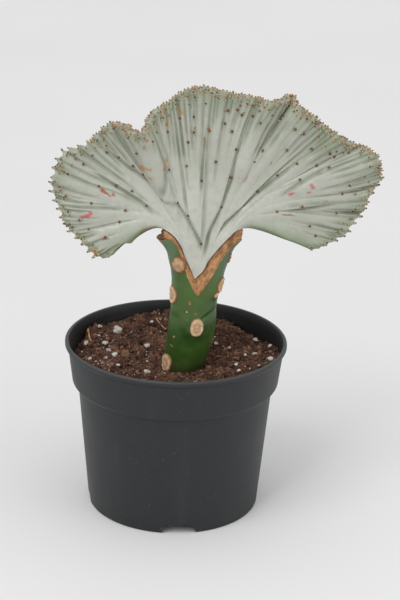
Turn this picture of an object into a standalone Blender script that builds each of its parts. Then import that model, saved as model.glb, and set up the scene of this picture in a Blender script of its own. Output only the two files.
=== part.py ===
"""Potted crested euphorbia.

A fan-shaped succulent crest, grafted in the V cleft of an upright green rootstock that
grows in a round nursery pot of loose peaty mix. Metres, +Z up. The origin is on the pot's
axis, on the surface that the pot stands on, and the broad face of the crest looks along -Y.
"""
import math

import bmesh
import bpy
import numpy as np
from mathutils import Matrix, Vector
from mathutils.bvhtree import BVHTree
from mathutils.noise import noise

CLEARANCE = 0.0003  # gap between pieces that touch

# Pot
POT_HEIGHT = 0.1212
POT_RIM_RADIUS = 0.0775
POT_LIP_REACH = 0.0022  # how far the lip stands out of the collar
POT_LIP_HEIGHT = 0.0050
POT_COLLAR_HEIGHT = 0.0317
POT_COLLAR_TAPER = 0.0028  # radius that the collar loses between its lip and its lower edge
POT_SHOULDER = 0.0043  # step from the collar in to the body
POT_BASE_RADIUS = 0.0604
POT_BASE_CORNER = 0.0012
POT_WALL = 0.0016
POT_FLOOR = 0.0020
POT_SEGMENTS = 60
CORNER_CUT = 0.3  # how far a rounded corner's middle stands in, in its radii
RIM_SLOPE = 0.4  # how far the rim's top stands in from the lip, in wall thicknesses
RIM_WIDTH = 1.2  # width of the rim, in wall thicknesses

# Drainage: short channels under the pot's edge, each with a hole through its roof
CHANNEL_COUNT = 4
CHANNEL_BEARING = -84.6  # of the first channel, in degrees from +X
CHANNEL_WIDTH = 0.0245
CHANNEL_ROOF_WIDTH = 0.0170
CHANNEL_HEIGHT = 0.0066
CHANNEL_LENGTH = 0.0270
DRAIN_HOLE_RADIUS = 0.0040
DRAIN_HOLE_INSET = 0.0090  # from the channel's inner end to the hole's centre

# Soil
SOIL_DEPTH = 0.0135  # rim down to the mean level of the soil
SOIL_CENTRE_DIP = 0.0035
SOIL_GRAIN = 0.0007  # height of the small unevenness
SOIL_LUMPS = 160  # lumps and grains of the unevenness to a metre
SOIL_GRAINS = 330
SOIL_LUMP_HEIGHT = 1.6  # in grain heights
# Height of the soil against the wall, above its mean level, by bearing in degrees
SOIL_EDGE = ((8, 0.005), (37, -0.003), (60, 0.004), (96, 0.008), (131, 0.002), (145, 0.007),
             (170, -0.002), (215, -0.001), (270, -0.002), (325, 0.000))
SOIL_RINGS = (0.92, 0.81, 0.69, 0.57, 0.45, 0.33, 0.20)

# Rootstock: its foot is where its axis meets the soil
STOCK_FOOT = Vector((0.0050, -0.0100))
STOCK_RADIUS = 0.0133
STOCK_HEIGHT = 0.0657  # soil level up to the tip of the cleft
STOCK_SIDES = 28
STOCK_LEVELS = 22
STOCK_RIB = 0.025  # share of the radius by which the blunt angles stand out
STOCK_ANGLES = 5
STOCK_TWIST = 0.6  # radians by which the blunt angles are turned
# Each station: height in stock heights, then offset to +X, half width and half depth in stock radii
STOCK_STATIONS = (
    (-0.84, -0.15, 0.40, 0.40), (-0.76, -0.15, 0.66, 0.66), (-0.45, -0.08, 0.90, 0.88),
    (-0.10, 0.00, 1.00, 0.98), (0.39, 0.38, 1.22, 1.08), (0.76, 0.52, 1.17, 1.05),
    (1.12, 0.67, 1.45, 1.00), (1.30, 0.68, 1.76, 0.92), (1.42, 0.64, 2.20, 0.82),
    (1.50, 0.66, 2.28, 0.76), (1.62, 0.68, 2.30, 0.70),
)
ROOT_BEARINGS = (20, 95, 160, 232, 305)
ROOT_RADIUS = 0.0032
ROOT_REACH = 0.0330
ROOT_DROP = 0.0400
ROOT_STEPS = 7
ROOT_SIDES = 8
ROOT_START_DEPTH = 0.50  # in stock heights below the soil
ROOT_START_OUT = 0.52  # in stock radii from the stock's axis
ROOT_TAPER = 0.62  # share of its radius that a root loses towards its tip
ROOT_CURVE = 1.4  # how steadily a root turns down: 1 for straight
ROOT_WAVE = 0.06  # sideways wave, as a share of the reach
ROOT_WAVE_TURN = 3.5
STOCK_HOLE_TOP = 0.6  # top of the soil's cavity for the stock, in stock heights above the soil

# Cleft of the graft, from the top of the left arm over its tip to the top of the right arm:
# offset from the foot in stock radii, height in stock heights
CLEFT = ((-1.46, 1.515), (-1.20, 1.522), (-0.955, 1.510), (-0.62, 1.460), (-0.278, 1.370),
         (0.045, 1.215), (0.519, 1.000), (0.932, 1.088), (1.173, 1.190), (1.617, 1.318),
         (2.226, 1.465), (2.594, 1.535), (3.045, 1.535))
CLEFT_RUNOUT = 0.0300  # how far the cut runs past the arms
CLEFT_FALL = 0.80  # slope of the cut past the arms, under the crest's lower edges
CLEFT_DEPTH = 2.5  # half depth of the cut, in stock radii
CLEFT_MITER = 0.4  # least share to which a corner shortens the gap over the cleft

# Crest
CREST_REACH = 0.1335
CREST_CENTRE = (0.73, 1.423)  # in stock radii and stock heights, from the foot
CREST_SETBACK = 0.0020  # the crest's middle plane behind the stock's axis
CREST_BASE_HALF = 0.78  # half thickness in the cleft, in stock radii
CREST_NECK_HALF = 0.0055
CREST_NECK_SHARE = 0.42  # share of the way out by which the crest has thinned to its neck
CREST_NECK_CURVE = 1.6
CREST_EDGE_HALF = 0.0027
CREST_THIN_SHARE = 0.3  # share of the way out from which it thins on to its edge
CREST_SQUARE_SHARE = 0.15  # share of the way out over which its faces stay square to the cleft
CREST_LEAN_CURVE = 2.2  # how late the edge's forward lean sets in: 1 for evenly
CREST_FALL = 0.60  # steepest slope at which the crest comes down past the arms' ends
# Edge of the fan, from its lower left corner over the top to its lower right corner. Each point:
# bearing in degrees from straight up, then distance and forward lean in hundredths of the reach
CREST_EDGE = (
    (-104.2, 47.6, 2.0), (-105.5, 51.0, 3.0),
    (-103.4, 55.8, 3.0), (-95.2, 62.3, 1.5), (-89.0, 69.4, -1.5), (-80.1, 74.9, 1.5),
    (-74.5, 79.9, -1.5), (-67.4, 82.6, 1.5), (-61.7, 83.9, 0.0), (-57.0, 81.7, -2.0),
    (-51.5, 76.9, 1.5), (-47.2, 75.6, -1.5), (-41.4, 75.1, -4.5), (-36.0, 72.5, -4.5),
    (-32.8, 68.7, 4.5), (-30.3, 65.5, 9.0), (-24.9, 67.2, 6.0), (-21.3, 70.5, -1.5),
    (-16.2, 71.0, -6.0), (-10.1, 73.9, -9.0), (-4.6, 76.3, -9.0), (0.7, 77.5, -6.0),
    (6.6, 77.4, -1.5), (13.2, 77.9, 1.5), (19.9, 78.9, 0.0), (25.4, 81.0, 3.0),
    (28.1, 83.4, 0.0), (30.5, 86.6, -6.0), (33.2, 86.5, -3.0), (34.5, 86.0, 2.0),
    (39.7, 86.1, 0.0), (46.3, 86.4, -2.0), (51.0, 89.1, 2.0), (56.3, 92.4, -2.0),
    (59.4, 97.3, 0.0), (63.3, 100.0, 3.0), (67.9, 98.8, 0.0), (72.1, 94.8, -2.0),
    (75.0, 89.2, 2.0), (80.3, 85.1, -1.5), (83.7, 79.9, 1.5), (89.3, 74.0, -2.0),
    (92.5, 67.4, 1.5), (94.9, 61.5, 2.0), (95.9, 57.6, 1.5),
)
CREST_HANDLE = 0.33  # how long the flow keeps its bearings, as a share of the way
CREST_FLOW_ASPECT = 4.94  # height over radius of the stock that the bearings at the cleft are for
# Flow of the flesh: share along the fan, then the bearings in which it leaves the cleft and
# arrives at the edge
CREST_FLOW = (
    (0.00, -120, -140), (0.05, -72, -110), (0.10, -40, -88), (0.20, -19, -60), (0.30, -13, -36),
    (0.40, -9, -14), (0.47, 2, -2), (0.55, 14, 18), (0.65, 19, 36), (0.75, 24, 56),
    (0.85, 28, 74), (0.90, 29, 88), (0.95, 57, 98), (1.00, 104, 114),
)
CREST_COLUMNS = 54
CREST_END_COLUMNS = (0.0, 0.006, 0.018)  # closer columns before those of an even spacing
CREST_END_SHARE = 0.035
CREST_ROWS = (0, 0.05, 0.12, 0.21, 0.31, 0.42, 0.53, 0.64, 0.74, 0.82, 0.89, 0.94, 0.97, 0.99, 1)

# Loose pieces on the soil. Each: bearing about the stock's foot in degrees, share of the way
# from the stock to the wall, and length
PERLITE = (
    (142, 0.93, 0.0024), (136, 0.78, 0.0060), (110, 0.80, 0.0024), (133, 0.32, 0.0044),
    (153, 0.73, 0.0036), (159, 0.64, 0.0030), (167, 0.54, 0.0038), (149, 0.85, 0.0024),
    (157, 0.94, 0.0030), (-146, 0.24, 0.0036), (58, 0.47, 0.0032), (43, 0.50, 0.0020),
    (15, 0.56, 0.0020), (13, 0.69, 0.0030), (-20, 0.55, 0.0030), (-1, 0.43, 0.0022),
    (43, 0.96, 0.0036), (20, 0.93, 0.0026), (1, 0.93, 0.0036), (177, 0.30, 0.0020),
    (171, 0.16, 0.0020), (-7, 0.77, 0.0020), (-173, 0.50, 0.0022), (178, 0.82, 0.0026),
    (173, 0.62, 0.0026), (-90, 0.62, 0.0032), (-52, 0.72, 0.0028),
)
PERLITE_LUMPS = 0.35
PERLITE_WIDTHS = (0.50, 0.78)  # narrowest and widest half width, in grain lengths
PERLITE_THICKNESS = 0.34
BARK = ((160, 0.42, 0.0085), (11, 0.42, 0.0046), (-12, 0.22, 0.0036), (-118, 0.66, 0.0070),
        (84, 0.55, 0.0060))
BARK_WIDTH = 0.52  # in chip lengths
BARK_THICKNESS = 0.24
BARK_TAPER = 0.35
BARK_RAGGED = (0.25, 0.30, 0.30)  # along, across and through the chip
LOOSE_MARGIN = 0.6  # least way from a loose piece's middle to the stock or the wall, in its lengths
STRAW_STEPS = 6
STRAW_SIDES = 6
# Each straw: bearing, share and rise at its two ends, then its radius
STRAWS = (
    ((107, 0.82, 0.0030), (104, 0.58, 0.0004), 0.00040),
    ((150, 0.97, 0.0060), (155, 0.88, 0.0004), 0.00060),
    ((-70, 0.35, 0.0004), (-84, 0.46, 0.0016), 0.00040),
)

SOIL_LEVEL = POT_HEIGHT - SOIL_DEPTH


def material(name, colour, roughness, metallic=0.0):
    """A Principled BSDF material of one colour."""
    made = bpy.data.materials.new(name)
    made.use_nodes = True
    shader = made.node_tree.nodes["Principled BSDF"]
    shader.inputs["Base Color"].default_value = (*colour, 1.0)
    shader.inputs["Roughness"].default_value = roughness
    shader.inputs["Metallic"].default_value = metallic
    made.diffuse_color = (*colour, 1.0)
    return made


def link(name, bm, surface=None, sharp_degrees=40):
    """Turn a bmesh into a smooth-shaded object of the given name."""
    mesh = bpy.data.meshes.new(name)
    bm.to_mesh(mesh)
    bm.free()
    mesh.shade_smooth()
    mesh.set_sharp_from_angle(angle=math.radians(sharp_degrees))
    thing = bpy.data.objects.new(name, mesh)
    if surface is not None:
        mesh.materials.append(surface)
    bpy.context.scene.collection.objects.link(thing)
    return thing


def guide(name, bm):
    """An object that only shapes others."""
    thing = link(name, bm)
    thing.hide_render = True
    thing.display_type = "WIRE"
    return thing


def combine(thing, other, operation):
    """Add a Boolean of another object to a piece."""
    modifier = thing.modifiers.new(other.name, "BOOLEAN")
    modifier.object = other
    modifier.operation = operation
    modifier.solver = "EXACT"


def smooth_path(points, params):
    """Points of a smooth curve through the given points, at shares of its chord length."""
    points = np.array(points, dtype=float)
    steps = np.linalg.norm(np.diff(points[:, :2], axis=0), axis=1)
    knots = np.concatenate([[0.0], np.cumsum(steps)]) / steps.sum()
    slopes = np.gradient(points, knots, axis=0)
    params = np.asarray(params, dtype=float)
    left = np.clip(np.searchsorted(knots, params, side="right") - 1, 0, len(knots) - 2)
    width = (knots[left + 1] - knots[left])[:, None]
    t = (params - knots[left])[:, None] / width
    return (
        (2 * t**3 - 3 * t**2 + 1) * points[left]
        + (t**3 - 2 * t**2 + t) * width * slopes[left]
        + (3 * t**2 - 2 * t**3) * points[left + 1]
        + (t**3 - t**2) * width * slopes[left + 1]
    )


def rings_to_bmesh(rings, first_pole=None, last_pole=None):
    """A closed skin over rings of points, capped by a pole or by a flat face at each end."""
    bm = bmesh.new()
    loops = [[bm.verts.new(point) for point in ring] for ring in rings]
    count = len(loops[0])
    for lower, upper in zip(loops, loops[1:]):
        for j in range(count):
            k = (j + 1) % count
            bm.faces.new((lower[j], lower[k], upper[k], upper[j]))
    if first_pole is None:
        bm.faces.new(list(reversed(loops[0])))
    else:
        pole = bm.verts.new(first_pole)
        for j in range(count):
            bm.faces.new((pole, loops[0][(j + 1) % count], loops[0][j]))
    if last_pole is None:
        bm.faces.new(loops[-1])
    else:
        pole = bm.verts.new(last_pole)
        for j in range(count):
            bm.faces.new((loops[-1][j], loops[-1][(j + 1) % count], pole))
    return bm


def circle(radius, height, count=POT_SEGMENTS):
    """Points of a level circle on the pot's axis."""
    turns = [math.tau * j / count for j in range(count)]
    return [(radius * math.cos(a), radius * math.sin(a), height) for a in turns]


def shoulder_arc(radius, degrees):
    """Points of the collar's rounded lower edge, as (radius, height)."""
    centre_radius = POT_RIM_RADIUS - POT_LIP_REACH - POT_COLLAR_TAPER - POT_SHOULDER
    centre_height = POT_HEIGHT - POT_COLLAR_HEIGHT + POT_SHOULDER
    turns = [math.radians(a) for a in degrees]
    return [(centre_radius + radius * math.cos(a), centre_height + radius * math.sin(a)) for a in turns]


def pot_outside():
    """The pot's outer profile as (radius, height), from its base up to its rim."""
    corner = POT_BASE_CORNER
    collar_top = POT_HEIGHT - POT_LIP_HEIGHT
    lip_bottom = collar_top + POT_LIP_REACH
    body = [(POT_BASE_RADIUS - corner, 0.0),
            (POT_BASE_RADIUS - CORNER_CUT * corner, CORNER_CUT * corner),
            (POT_BASE_RADIUS, corner)]
    collar = shoulder_arc(POT_SHOULDER, (-90, -60, -30, 0))
    lip = [(POT_RIM_RADIUS - POT_LIP_REACH, collar_top), (POT_RIM_RADIUS, lip_bottom),
           (POT_RIM_RADIUS, POT_HEIGHT - POT_WALL / 2),
           (POT_RIM_RADIUS - RIM_SLOPE * POT_WALL, POT_HEIGHT)]
    return body + collar + lip


def pot_inside():
    """The pot's inner profile as (radius, height), from its floor up to its rim."""
    collar_top = POT_HEIGHT - POT_LIP_HEIGHT
    body_top = shoulder_arc(POT_SHOULDER, (-90,))[0]
    floor = [(POT_BASE_RADIUS - POT_WALL, POT_FLOOR), (body_top[0] - POT_WALL, body_top[1])]
    collar = shoulder_arc(POT_SHOULDER - POT_WALL, (-90, -45, 0))
    rim = [(POT_RIM_RADIUS - POT_LIP_REACH - POT_WALL, collar_top),
           (POT_RIM_RADIUS - RIM_WIDTH * POT_WALL, POT_HEIGHT)]
    return floor + collar + rim


def inside_radius(height):
    """Radius of the pot's inner wall at a height."""
    radii, heights = zip(*pot_inside())
    return float(np.interp(height, heights, radii))


def channel_heading(number):
    """Direction of a drainage channel, in radians from +X."""
    return math.radians(CHANNEL_BEARING) + math.tau * number / CHANNEL_COUNT


def channel_prisms(grow, bottom, outer_radius):
    """The drainage channels as four trapezoid blocks, grown by a thickness on every side."""
    slope = (CHANNEL_WIDTH - CHANNEL_ROOF_WIDTH) / 2 / CHANNEL_HEIGHT
    top = CHANNEL_HEIGHT + grow
    inner = POT_BASE_RADIUS - CHANNEL_LENGTH - grow
    merged = bmesh.new()
    for i in range(CHANNEL_COUNT):
        rings = []
        for height in (bottom, top):
            half = CHANNEL_WIDTH / 2 - slope * height + grow
            swing = math.asin(half / outer_radius)
            outer = [(outer_radius * math.cos(swing * s), outer_radius * math.sin(swing * s))
                     for s in (-1, -0.5, 0, 0.5, 1)]
            plan = [(inner, -half), *outer, (inner, half)]
            turn = Matrix.Rotation(channel_heading(i), 4, "Z")
            rings.append([turn @ Vector((x, y, height)) for x, y in plan])
        prism = rings_to_bmesh(rings)
        scratch = bpy.data.meshes.new("scratch")
        prism.to_mesh(scratch)
        prism.free()
        merged.from_mesh(scratch)
        bpy.data.meshes.remove(scratch)
    return merged


def drain_holes():
    """Upright rods through the roofs of the drainage channels."""
    bm = bmesh.new()
    reach = POT_BASE_RADIUS - CHANNEL_LENGTH + DRAIN_HOLE_INSET
    height = 4 * CHANNEL_HEIGHT
    for i in range(CHANNEL_COUNT):
        heading = channel_heading(i)
        place = Matrix.Translation((reach * math.cos(heading), reach * math.sin(heading), 0))
        bmesh.ops.create_cone(bm, cap_ends=True, segments=20, radius1=DRAIN_HOLE_RADIUS,
                              radius2=DRAIN_HOLE_RADIUS, depth=height, matrix=place)
    return bm


def make_pot(surface):
    """Nursery pot: tapered body, collar, lip and drainage channels, moulded in one."""
    outside = [circle(radius, height) for radius, height in pot_outside()]
    inside = [circle(radius, height) for radius, height in reversed(pot_inside())]
    shell = rings_to_bmesh(outside + inside, (0, 0, 0), (0, 0, POT_FLOOR))
    pot = link("pot", shell, surface)
    mid_wall = POT_BASE_RADIUS - 0.4 * POT_WALL  # inside the wall, clear of both its faces
    combine(pot, guide("channel_housings", channel_prisms(POT_WALL, POT_FLOOR / 2, mid_wall)), "UNION")
    combine(pot, guide("channel_cuts", channel_prisms(0.0, -POT_FLOOR, POT_RIM_RADIUS)), "DIFFERENCE")
    combine(pot, guide("drain_cuts", drain_holes()), "DIFFERENCE")
    return pot


def edge_height(turn):
    """Height of the soil against the wall, above its mean level."""
    bearing = math.degrees(turn) % 360
    around = [(b - 360, h) for b, h in SOIL_EDGE[-1:]] + list(SOIL_EDGE)
    around += [(b + 360, h) for b, h in SOIL_EDGE[:1]]
    for (b0, h0), (b1, h1) in zip(around, around[1:]):
        if b0 <= bearing <= b1:
            t = (bearing - b0) / (b1 - b0)
            return h0 + (h1 - h0) * t * t * (3 - 2 * t)
    return 0.0


def soil_height(share, turn):
    """Height of the soil's surface at a share of its radius."""
    radius = share * POT_RIM_RADIUS
    lump = noise(Vector((radius * math.cos(turn), radius * math.sin(turn), 0.0)) * SOIL_LUMPS)
    fine = noise(Vector((radius * math.cos(turn), radius * math.sin(turn), 0.3)) * SOIL_GRAINS)
    rough = SOIL_GRAIN * (SOIL_LUMP_HEIGHT * lump + fine)
    return SOIL_LEVEL - SOIL_CENTRE_DIP * (1 - share) + edge_height(turn) * share**2 + rough


def soil_ring(share):
    """One ring of the soil's surface, at a share of its radius."""
    points = []
    for j in range(POT_SEGMENTS):
        turn = math.tau * j / POT_SEGMENTS
        edge = inside_radius(soil_height(1.0, turn)) - CLEARANCE
        radius = share * edge
        points.append((radius * math.cos(turn), radius * math.sin(turn), soil_height(share, turn)))
    return points


def soil_bmesh():
    """The body of soil without its cavities: it fills the pot up to its uneven surface."""
    top = [soil_ring(share) for share in (1.0, *SOIL_RINGS)]
    lowest = min(point[2] for point in top[0])
    sides = [(POT_BASE_RADIUS - POT_WALL, POT_FLOOR + CLEARANCE)]
    sides += [(radius, height) for radius, height in pot_inside()[1:] if height < lowest]
    body = [circle(radius - CLEARANCE, height) for radius, height in sides]
    floor_pole = (0, 0, POT_FLOOR + CLEARANCE)
    centre = (0, 0, float(np.mean([point[2] for point in top[-1]])))
    return rings_to_bmesh(body + top, floor_pole, centre)


def stock_rings(grow, top=None):
    """Rings of the stock, grown by a clearance, up to a height above the soil."""
    stations = np.array(STOCK_STATIONS)
    heights = stations[:, 0] * STOCK_HEIGHT
    limit = heights[-1] if top is None else top
    levels = np.linspace(heights[0], limit, STOCK_LEVELS)
    rings = []
    for level in levels:
        offset, half_width, half_depth = (
            float(np.interp(level, heights, stations[:, column])) * STOCK_RADIUS for column in (1, 2, 3)
        )
        ring = []
        for j in range(STOCK_SIDES):
            turn = math.tau * j / STOCK_SIDES
            swell = 1 + STOCK_RIB * math.cos(STOCK_ANGLES * turn + STOCK_TWIST)
            ring.append((
                STOCK_FOOT.x + offset + (half_width * swell + grow) * math.cos(turn),
                STOCK_FOOT.y + (half_depth * swell + grow) * math.sin(turn),
                SOIL_LEVEL + level,
            ))
        rings.append(ring)
    rings[0] = [(x, y, z - grow) for x, y, z in rings[0]]
    return rings


def root_bmesh(bearing, grow):
    """One main root: a tapering tube that runs out and down from the crown."""
    heading = Vector((math.cos(math.radians(bearing)), math.sin(math.radians(bearing)), 0))
    across = Vector((-heading.y, heading.x, 0))
    start = Vector((*STOCK_FOOT, SOIL_LEVEL - ROOT_START_DEPTH * STOCK_HEIGHT))
    start += heading * ROOT_START_OUT * STOCK_RADIUS
    rings = []
    for step in range(ROOT_STEPS + 1):
        share = step / ROOT_STEPS
        if step == ROOT_STEPS:
            share += grow / ROOT_REACH
        wave = ROOT_WAVE * ROOT_REACH * math.sin(ROOT_WAVE_TURN * share + bearing)
        middle = start + heading * share * ROOT_REACH + across * wave * share
        middle.z -= ROOT_DROP * share**ROOT_CURVE
        radius = ROOT_RADIUS * (1 - ROOT_TAPER * share) + grow
        fall = ROOT_CURVE * share**(ROOT_CURVE - 1) * ROOT_DROP / ROOT_REACH
        along = (heading - Vector((0, 0, fall))).normalized()
        upward = across.cross(along).normalized()
        turns = [math.tau * j / ROOT_SIDES for j in range(ROOT_SIDES)]
        rings.append([middle + radius * (math.cos(a) * across + math.sin(a) * upward) for a in turns])
    bm = rings_to_bmesh(rings)
    bmesh.ops.recalc_face_normals(bm, faces=bm.faces)
    return bm


def cleft_points(params):
    """The cleft's outline as world (x, z) at shares of its length."""
    scaled = [(STOCK_FOOT.x + x * STOCK_RADIUS, SOIL_LEVEL + z * STOCK_HEIGHT) for x, z in CLEFT]
    return smooth_path(scaled, params)


def crest_columns():
    """Shares along the fan at which its columns stand, closer together at its two ends."""
    even = np.linspace(CREST_END_SHARE, 1 - CREST_END_SHARE, CREST_COLUMNS)
    near = np.array(CREST_END_COLUMNS)
    return np.concatenate([near, even, 1 - near[::-1]])


def cleft_bmesh():
    """The wedge that the cleft is cut with, running past both arms and out of the top."""
    outline = [(x, z) for x, z in cleft_points(crest_columns())]
    left, right = outline[0], outline[-1]
    top = left[1] + 2 * CLEFT_RUNOUT
    outline.append((right[0] + CLEFT_RUNOUT, right[1] - CLEFT_FALL * CLEFT_RUNOUT))
    outline.append((right[0] + CLEFT_RUNOUT, top))
    outline.append((left[0] - CLEFT_RUNOUT, top))
    outline.append((left[0] - CLEFT_RUNOUT, left[1] - CLEFT_FALL * CLEFT_RUNOUT))
    depth = CLEFT_DEPTH * STOCK_RADIUS
    rings = [[(x, STOCK_FOOT.y + y, z) for x, z in outline] for y in (-depth, depth)]
    bm = rings_to_bmesh(rings)
    bmesh.ops.recalc_face_normals(bm, faces=bm.faces)
    return bm


def make_rootstock(surface):
    """Green stock with its buried crown and main roots, split by the cleft of the graft."""
    stock = link("rootstock", rings_to_bmesh(stock_rings(0.0)), surface)
    for bearing in ROOT_BEARINGS:
        combine(stock, guide(f"root_{bearing}", root_bmesh(bearing, 0.0)), "UNION")
    combine(stock, guide("cleft_cut", cleft_bmesh()), "DIFFERENCE")
    return stock


def make_soil(surface):
    """Soil with the cavity of the buried stem and roots, and grooves over the channels."""
    soil = link("soil", soil_bmesh(), surface, 180)
    grown = POT_WALL + CLEARANCE
    combine(soil, guide("channel_grooves", channel_prisms(grown, 0.0, POT_RIM_RADIUS)), "DIFFERENCE")
    above = STOCK_HOLE_TOP * STOCK_HEIGHT
    combine(soil, guide("stock_hole", rings_to_bmesh(stock_rings(CLEARANCE, above))), "DIFFERENCE")
    for bearing in ROOT_BEARINGS:
        combine(soil, guide(f"root_hole_{bearing}", root_bmesh(bearing, CLEARANCE)), "DIFFERENCE")
    return soil


def crest_sheet(columns, rows):
    """Middle surface of the crest as a grid of points, columns along the fan, rows outwards."""
    base = cleft_points(columns)
    centre = np.array([STOCK_FOOT.x + CREST_CENTRE[0] * STOCK_RADIUS,
                       SOIL_LEVEL + CREST_CENTRE[1] * STOCK_HEIGHT])
    unit = CREST_REACH / 100
    outline = []
    for bearing, reach, lean in CREST_EDGE:
        angle = math.radians(bearing)
        outline.append((centre[0] + reach * unit * math.sin(angle),
                        centre[1] + reach * unit * math.cos(angle), lean * unit))
    edge = smooth_path(outline, columns)
    share, leaves, arrives = np.array(CREST_FLOW).T
    leaves = np.radians(np.interp(columns, share, leaves))
    arrives = np.radians(np.interp(columns, share, arrives))
    handle = CREST_HANDLE * np.linalg.norm(edge[:, :2] - base, axis=1)[:, None]
    squeeze = CREST_FLOW_ASPECT * STOCK_RADIUS / STOCK_HEIGHT
    outward = np.stack([squeeze * np.sin(leaves), np.cos(leaves)], axis=1)
    first = base + handle * outward / np.linalg.norm(outward, axis=1)[:, None]
    second = edge[:, :2] - handle * np.stack([np.sin(arrives), np.cos(arrives)], axis=1)
    t = np.asarray(rows, dtype=float)[None, :, None]
    flat = ((1 - t) ** 3 * base[:, None] + 3 * (1 - t) ** 2 * t * first[:, None]
            + 3 * (1 - t) * t**2 * second[:, None] + t**3 * edge[:, None, :2])
    lean = edge[:, None, 2] * t[:, :, 0] ** CREST_LEAN_CURVE
    depth = STOCK_FOOT.y + CREST_SETBACK - lean
    return np.stack([flat[:, :, 0], depth, flat[:, :, 1]], axis=2)


def round_off(distance, radius):
    """Share of the full thickness at a distance in from a rounded edge."""
    inward = np.clip(distance / radius, 0, 1)
    return np.sqrt(1 - (1 - inward) ** 2)


def crest_half_thickness(sheet, rows):
    """Half thickness over the grid: thick in the cleft, thin and rounded at the edges."""
    rows = np.asarray(rows, dtype=float)[None, :]
    base = CREST_BASE_HALF * STOCK_RADIUS
    to_neck = (1 - np.clip(rows / CREST_NECK_SHARE, 0, 1)) ** CREST_NECK_CURVE
    to_edge = np.clip((rows - CREST_THIN_SHARE) / (1 - CREST_THIN_SHARE), 0, 1)
    half = CREST_NECK_HALF + (base - CREST_NECK_HALF) * to_neck
    half += (CREST_EDGE_HALF - CREST_NECK_HALF) * to_edge
    half = np.repeat(half, sheet.shape[0], axis=0)
    along = np.linalg.norm(np.diff(sheet, axis=0), axis=2)
    from_left = np.vstack([np.zeros(sheet.shape[1]), np.cumsum(along, axis=0)])
    from_right = from_left[-1] - from_left
    outward = np.linalg.norm(np.diff(sheet, axis=1), axis=2)
    run = np.hstack([np.zeros((sheet.shape[0], 1)), np.cumsum(outward, axis=1)])
    from_edge = run[:, -1:] - run
    sides = round_off(np.minimum(from_left, from_right), half)
    return half * sides * round_off(from_edge, half)


def crest_normals(sheet, rows):
    """Forward normals of the sheet, square to the cleft where the crest sits in it."""
    along = np.gradient(sheet, axis=0)
    outward = np.gradient(sheet, axis=1)
    normals = np.cross(along, outward)
    normals /= np.linalg.norm(normals, axis=2)[:, :, None]
    settle = np.clip(np.asarray(rows, dtype=float) / CREST_SQUARE_SHARE, 0, 1)[None, :, None]
    normals = settle * normals + (1 - settle) * np.array([0.0, -1.0, 0.0])
    return normals / np.linalg.norm(normals, axis=2)[:, :, None]


def lift_off_cleft(sheet):
    """Move the crest's base row off the cleft by the clearance, square to the cut."""
    base = sheet[:, 0, :]
    tangent = np.gradient(base, axis=0)[:, [0, 2]]
    tangent /= np.linalg.norm(tangent, axis=1)[:, None]
    upward = np.stack([-tangent[:, 1], tangent[:, 0]], axis=1)
    steps = np.diff(base[:, [0, 2]], axis=0)
    steps /= np.linalg.norm(steps, axis=1)[:, None]
    before = np.vstack([steps[:1], steps])
    miter = np.clip(np.sum(before * tangent, axis=1), CLEFT_MITER, 1)[:, None]
    base[:, [0, 2]] += CLEARANCE * upward / miter


def raise_off_arms(face, rows):
    """Raise the points of a face that come too close to the ends of the stock's arms."""
    left, right = cleft_points((0, 1))
    near = np.asarray(rows) < CREST_NECK_SHARE
    for end, past in ((left, left[0] - face[:, :, 0]), (right, face[:, :, 0] - right[0])):
        lowest = end[1] - CREST_FALL * past + CLEARANCE
        beside = (past > 0) & (past < CLEFT_RUNOUT) & near
        face[:, :, 2] = np.where(beside, np.maximum(face[:, :, 2], lowest), face[:, :, 2])


def make_crest(surface):
    """The crested scion: one undulating fan of flesh, thick in the cleft and thin at its edge."""
    columns, rows = crest_columns(), CREST_ROWS
    sheet = crest_sheet(columns, rows)
    lift_off_cleft(sheet)
    offset = crest_normals(sheet, rows) * crest_half_thickness(sheet, rows)[:, :, None]
    faces = [sheet + offset, sheet - offset]
    for face in faces:
        raise_off_arms(face, rows)
    bm = bmesh.new()
    front, back = ([[bm.verts.new(point) for point in column] for column in face] for face in faces)
    last_column, last_row = len(columns) - 1, len(rows) - 1
    for i in range(len(columns)):
        for j in range(len(rows)):
            if i in (0, last_column) or j == last_row:
                bm.verts.remove(back[i][j])
                back[i][j] = front[i][j]
    for i in range(last_column):
        for j in range(last_row):
            bm.faces.new((front[i][j], front[i + 1][j], front[i + 1][j + 1], front[i][j + 1]))
            bm.faces.new((back[i][j], back[i][j + 1], back[i + 1][j + 1], back[i + 1][j]))
        foot = [front[i][0], back[i][0], back[i + 1][0], front[i + 1][0]]
        bm.faces.new(list(dict.fromkeys(foot)))
    bmesh.ops.recalc_face_normals(bm, faces=bm.faces)
    return link("scion_crest", bm, surface, 50)


def spot(bearing, share, margin):
    """World (x, y) at a share of the way from the stock to the wall, clear of both by a margin."""
    heading = Vector((math.cos(math.radians(bearing)), math.sin(math.radians(bearing))))
    wall = inside_radius(SOIL_LEVEL)
    along = STOCK_FOOT.dot(heading)
    to_wall = -along + math.sqrt(along**2 - STOCK_FOOT.length_squared + wall**2)
    start = 1.1 * STOCK_RADIUS + margin
    return STOCK_FOOT + heading * (start + share * (to_wall - margin - start))


def rest_on_soil(bm, ground):
    """Lower or raise a loose piece until its closest point is a clearance above the soil."""
    drops = []
    for vert in bm.verts:
        hit = ground.ray_cast(Vector((vert.co.x, vert.co.y, 2 * POT_HEIGHT)), Vector((0, 0, -1)))
        if hit[0] is not None:
            drops.append(vert.co.z - hit[0].z)
    bmesh.ops.translate(bm, verts=bm.verts, vec=(0, 0, 2 * CLEARANCE - min(drops)))


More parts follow.
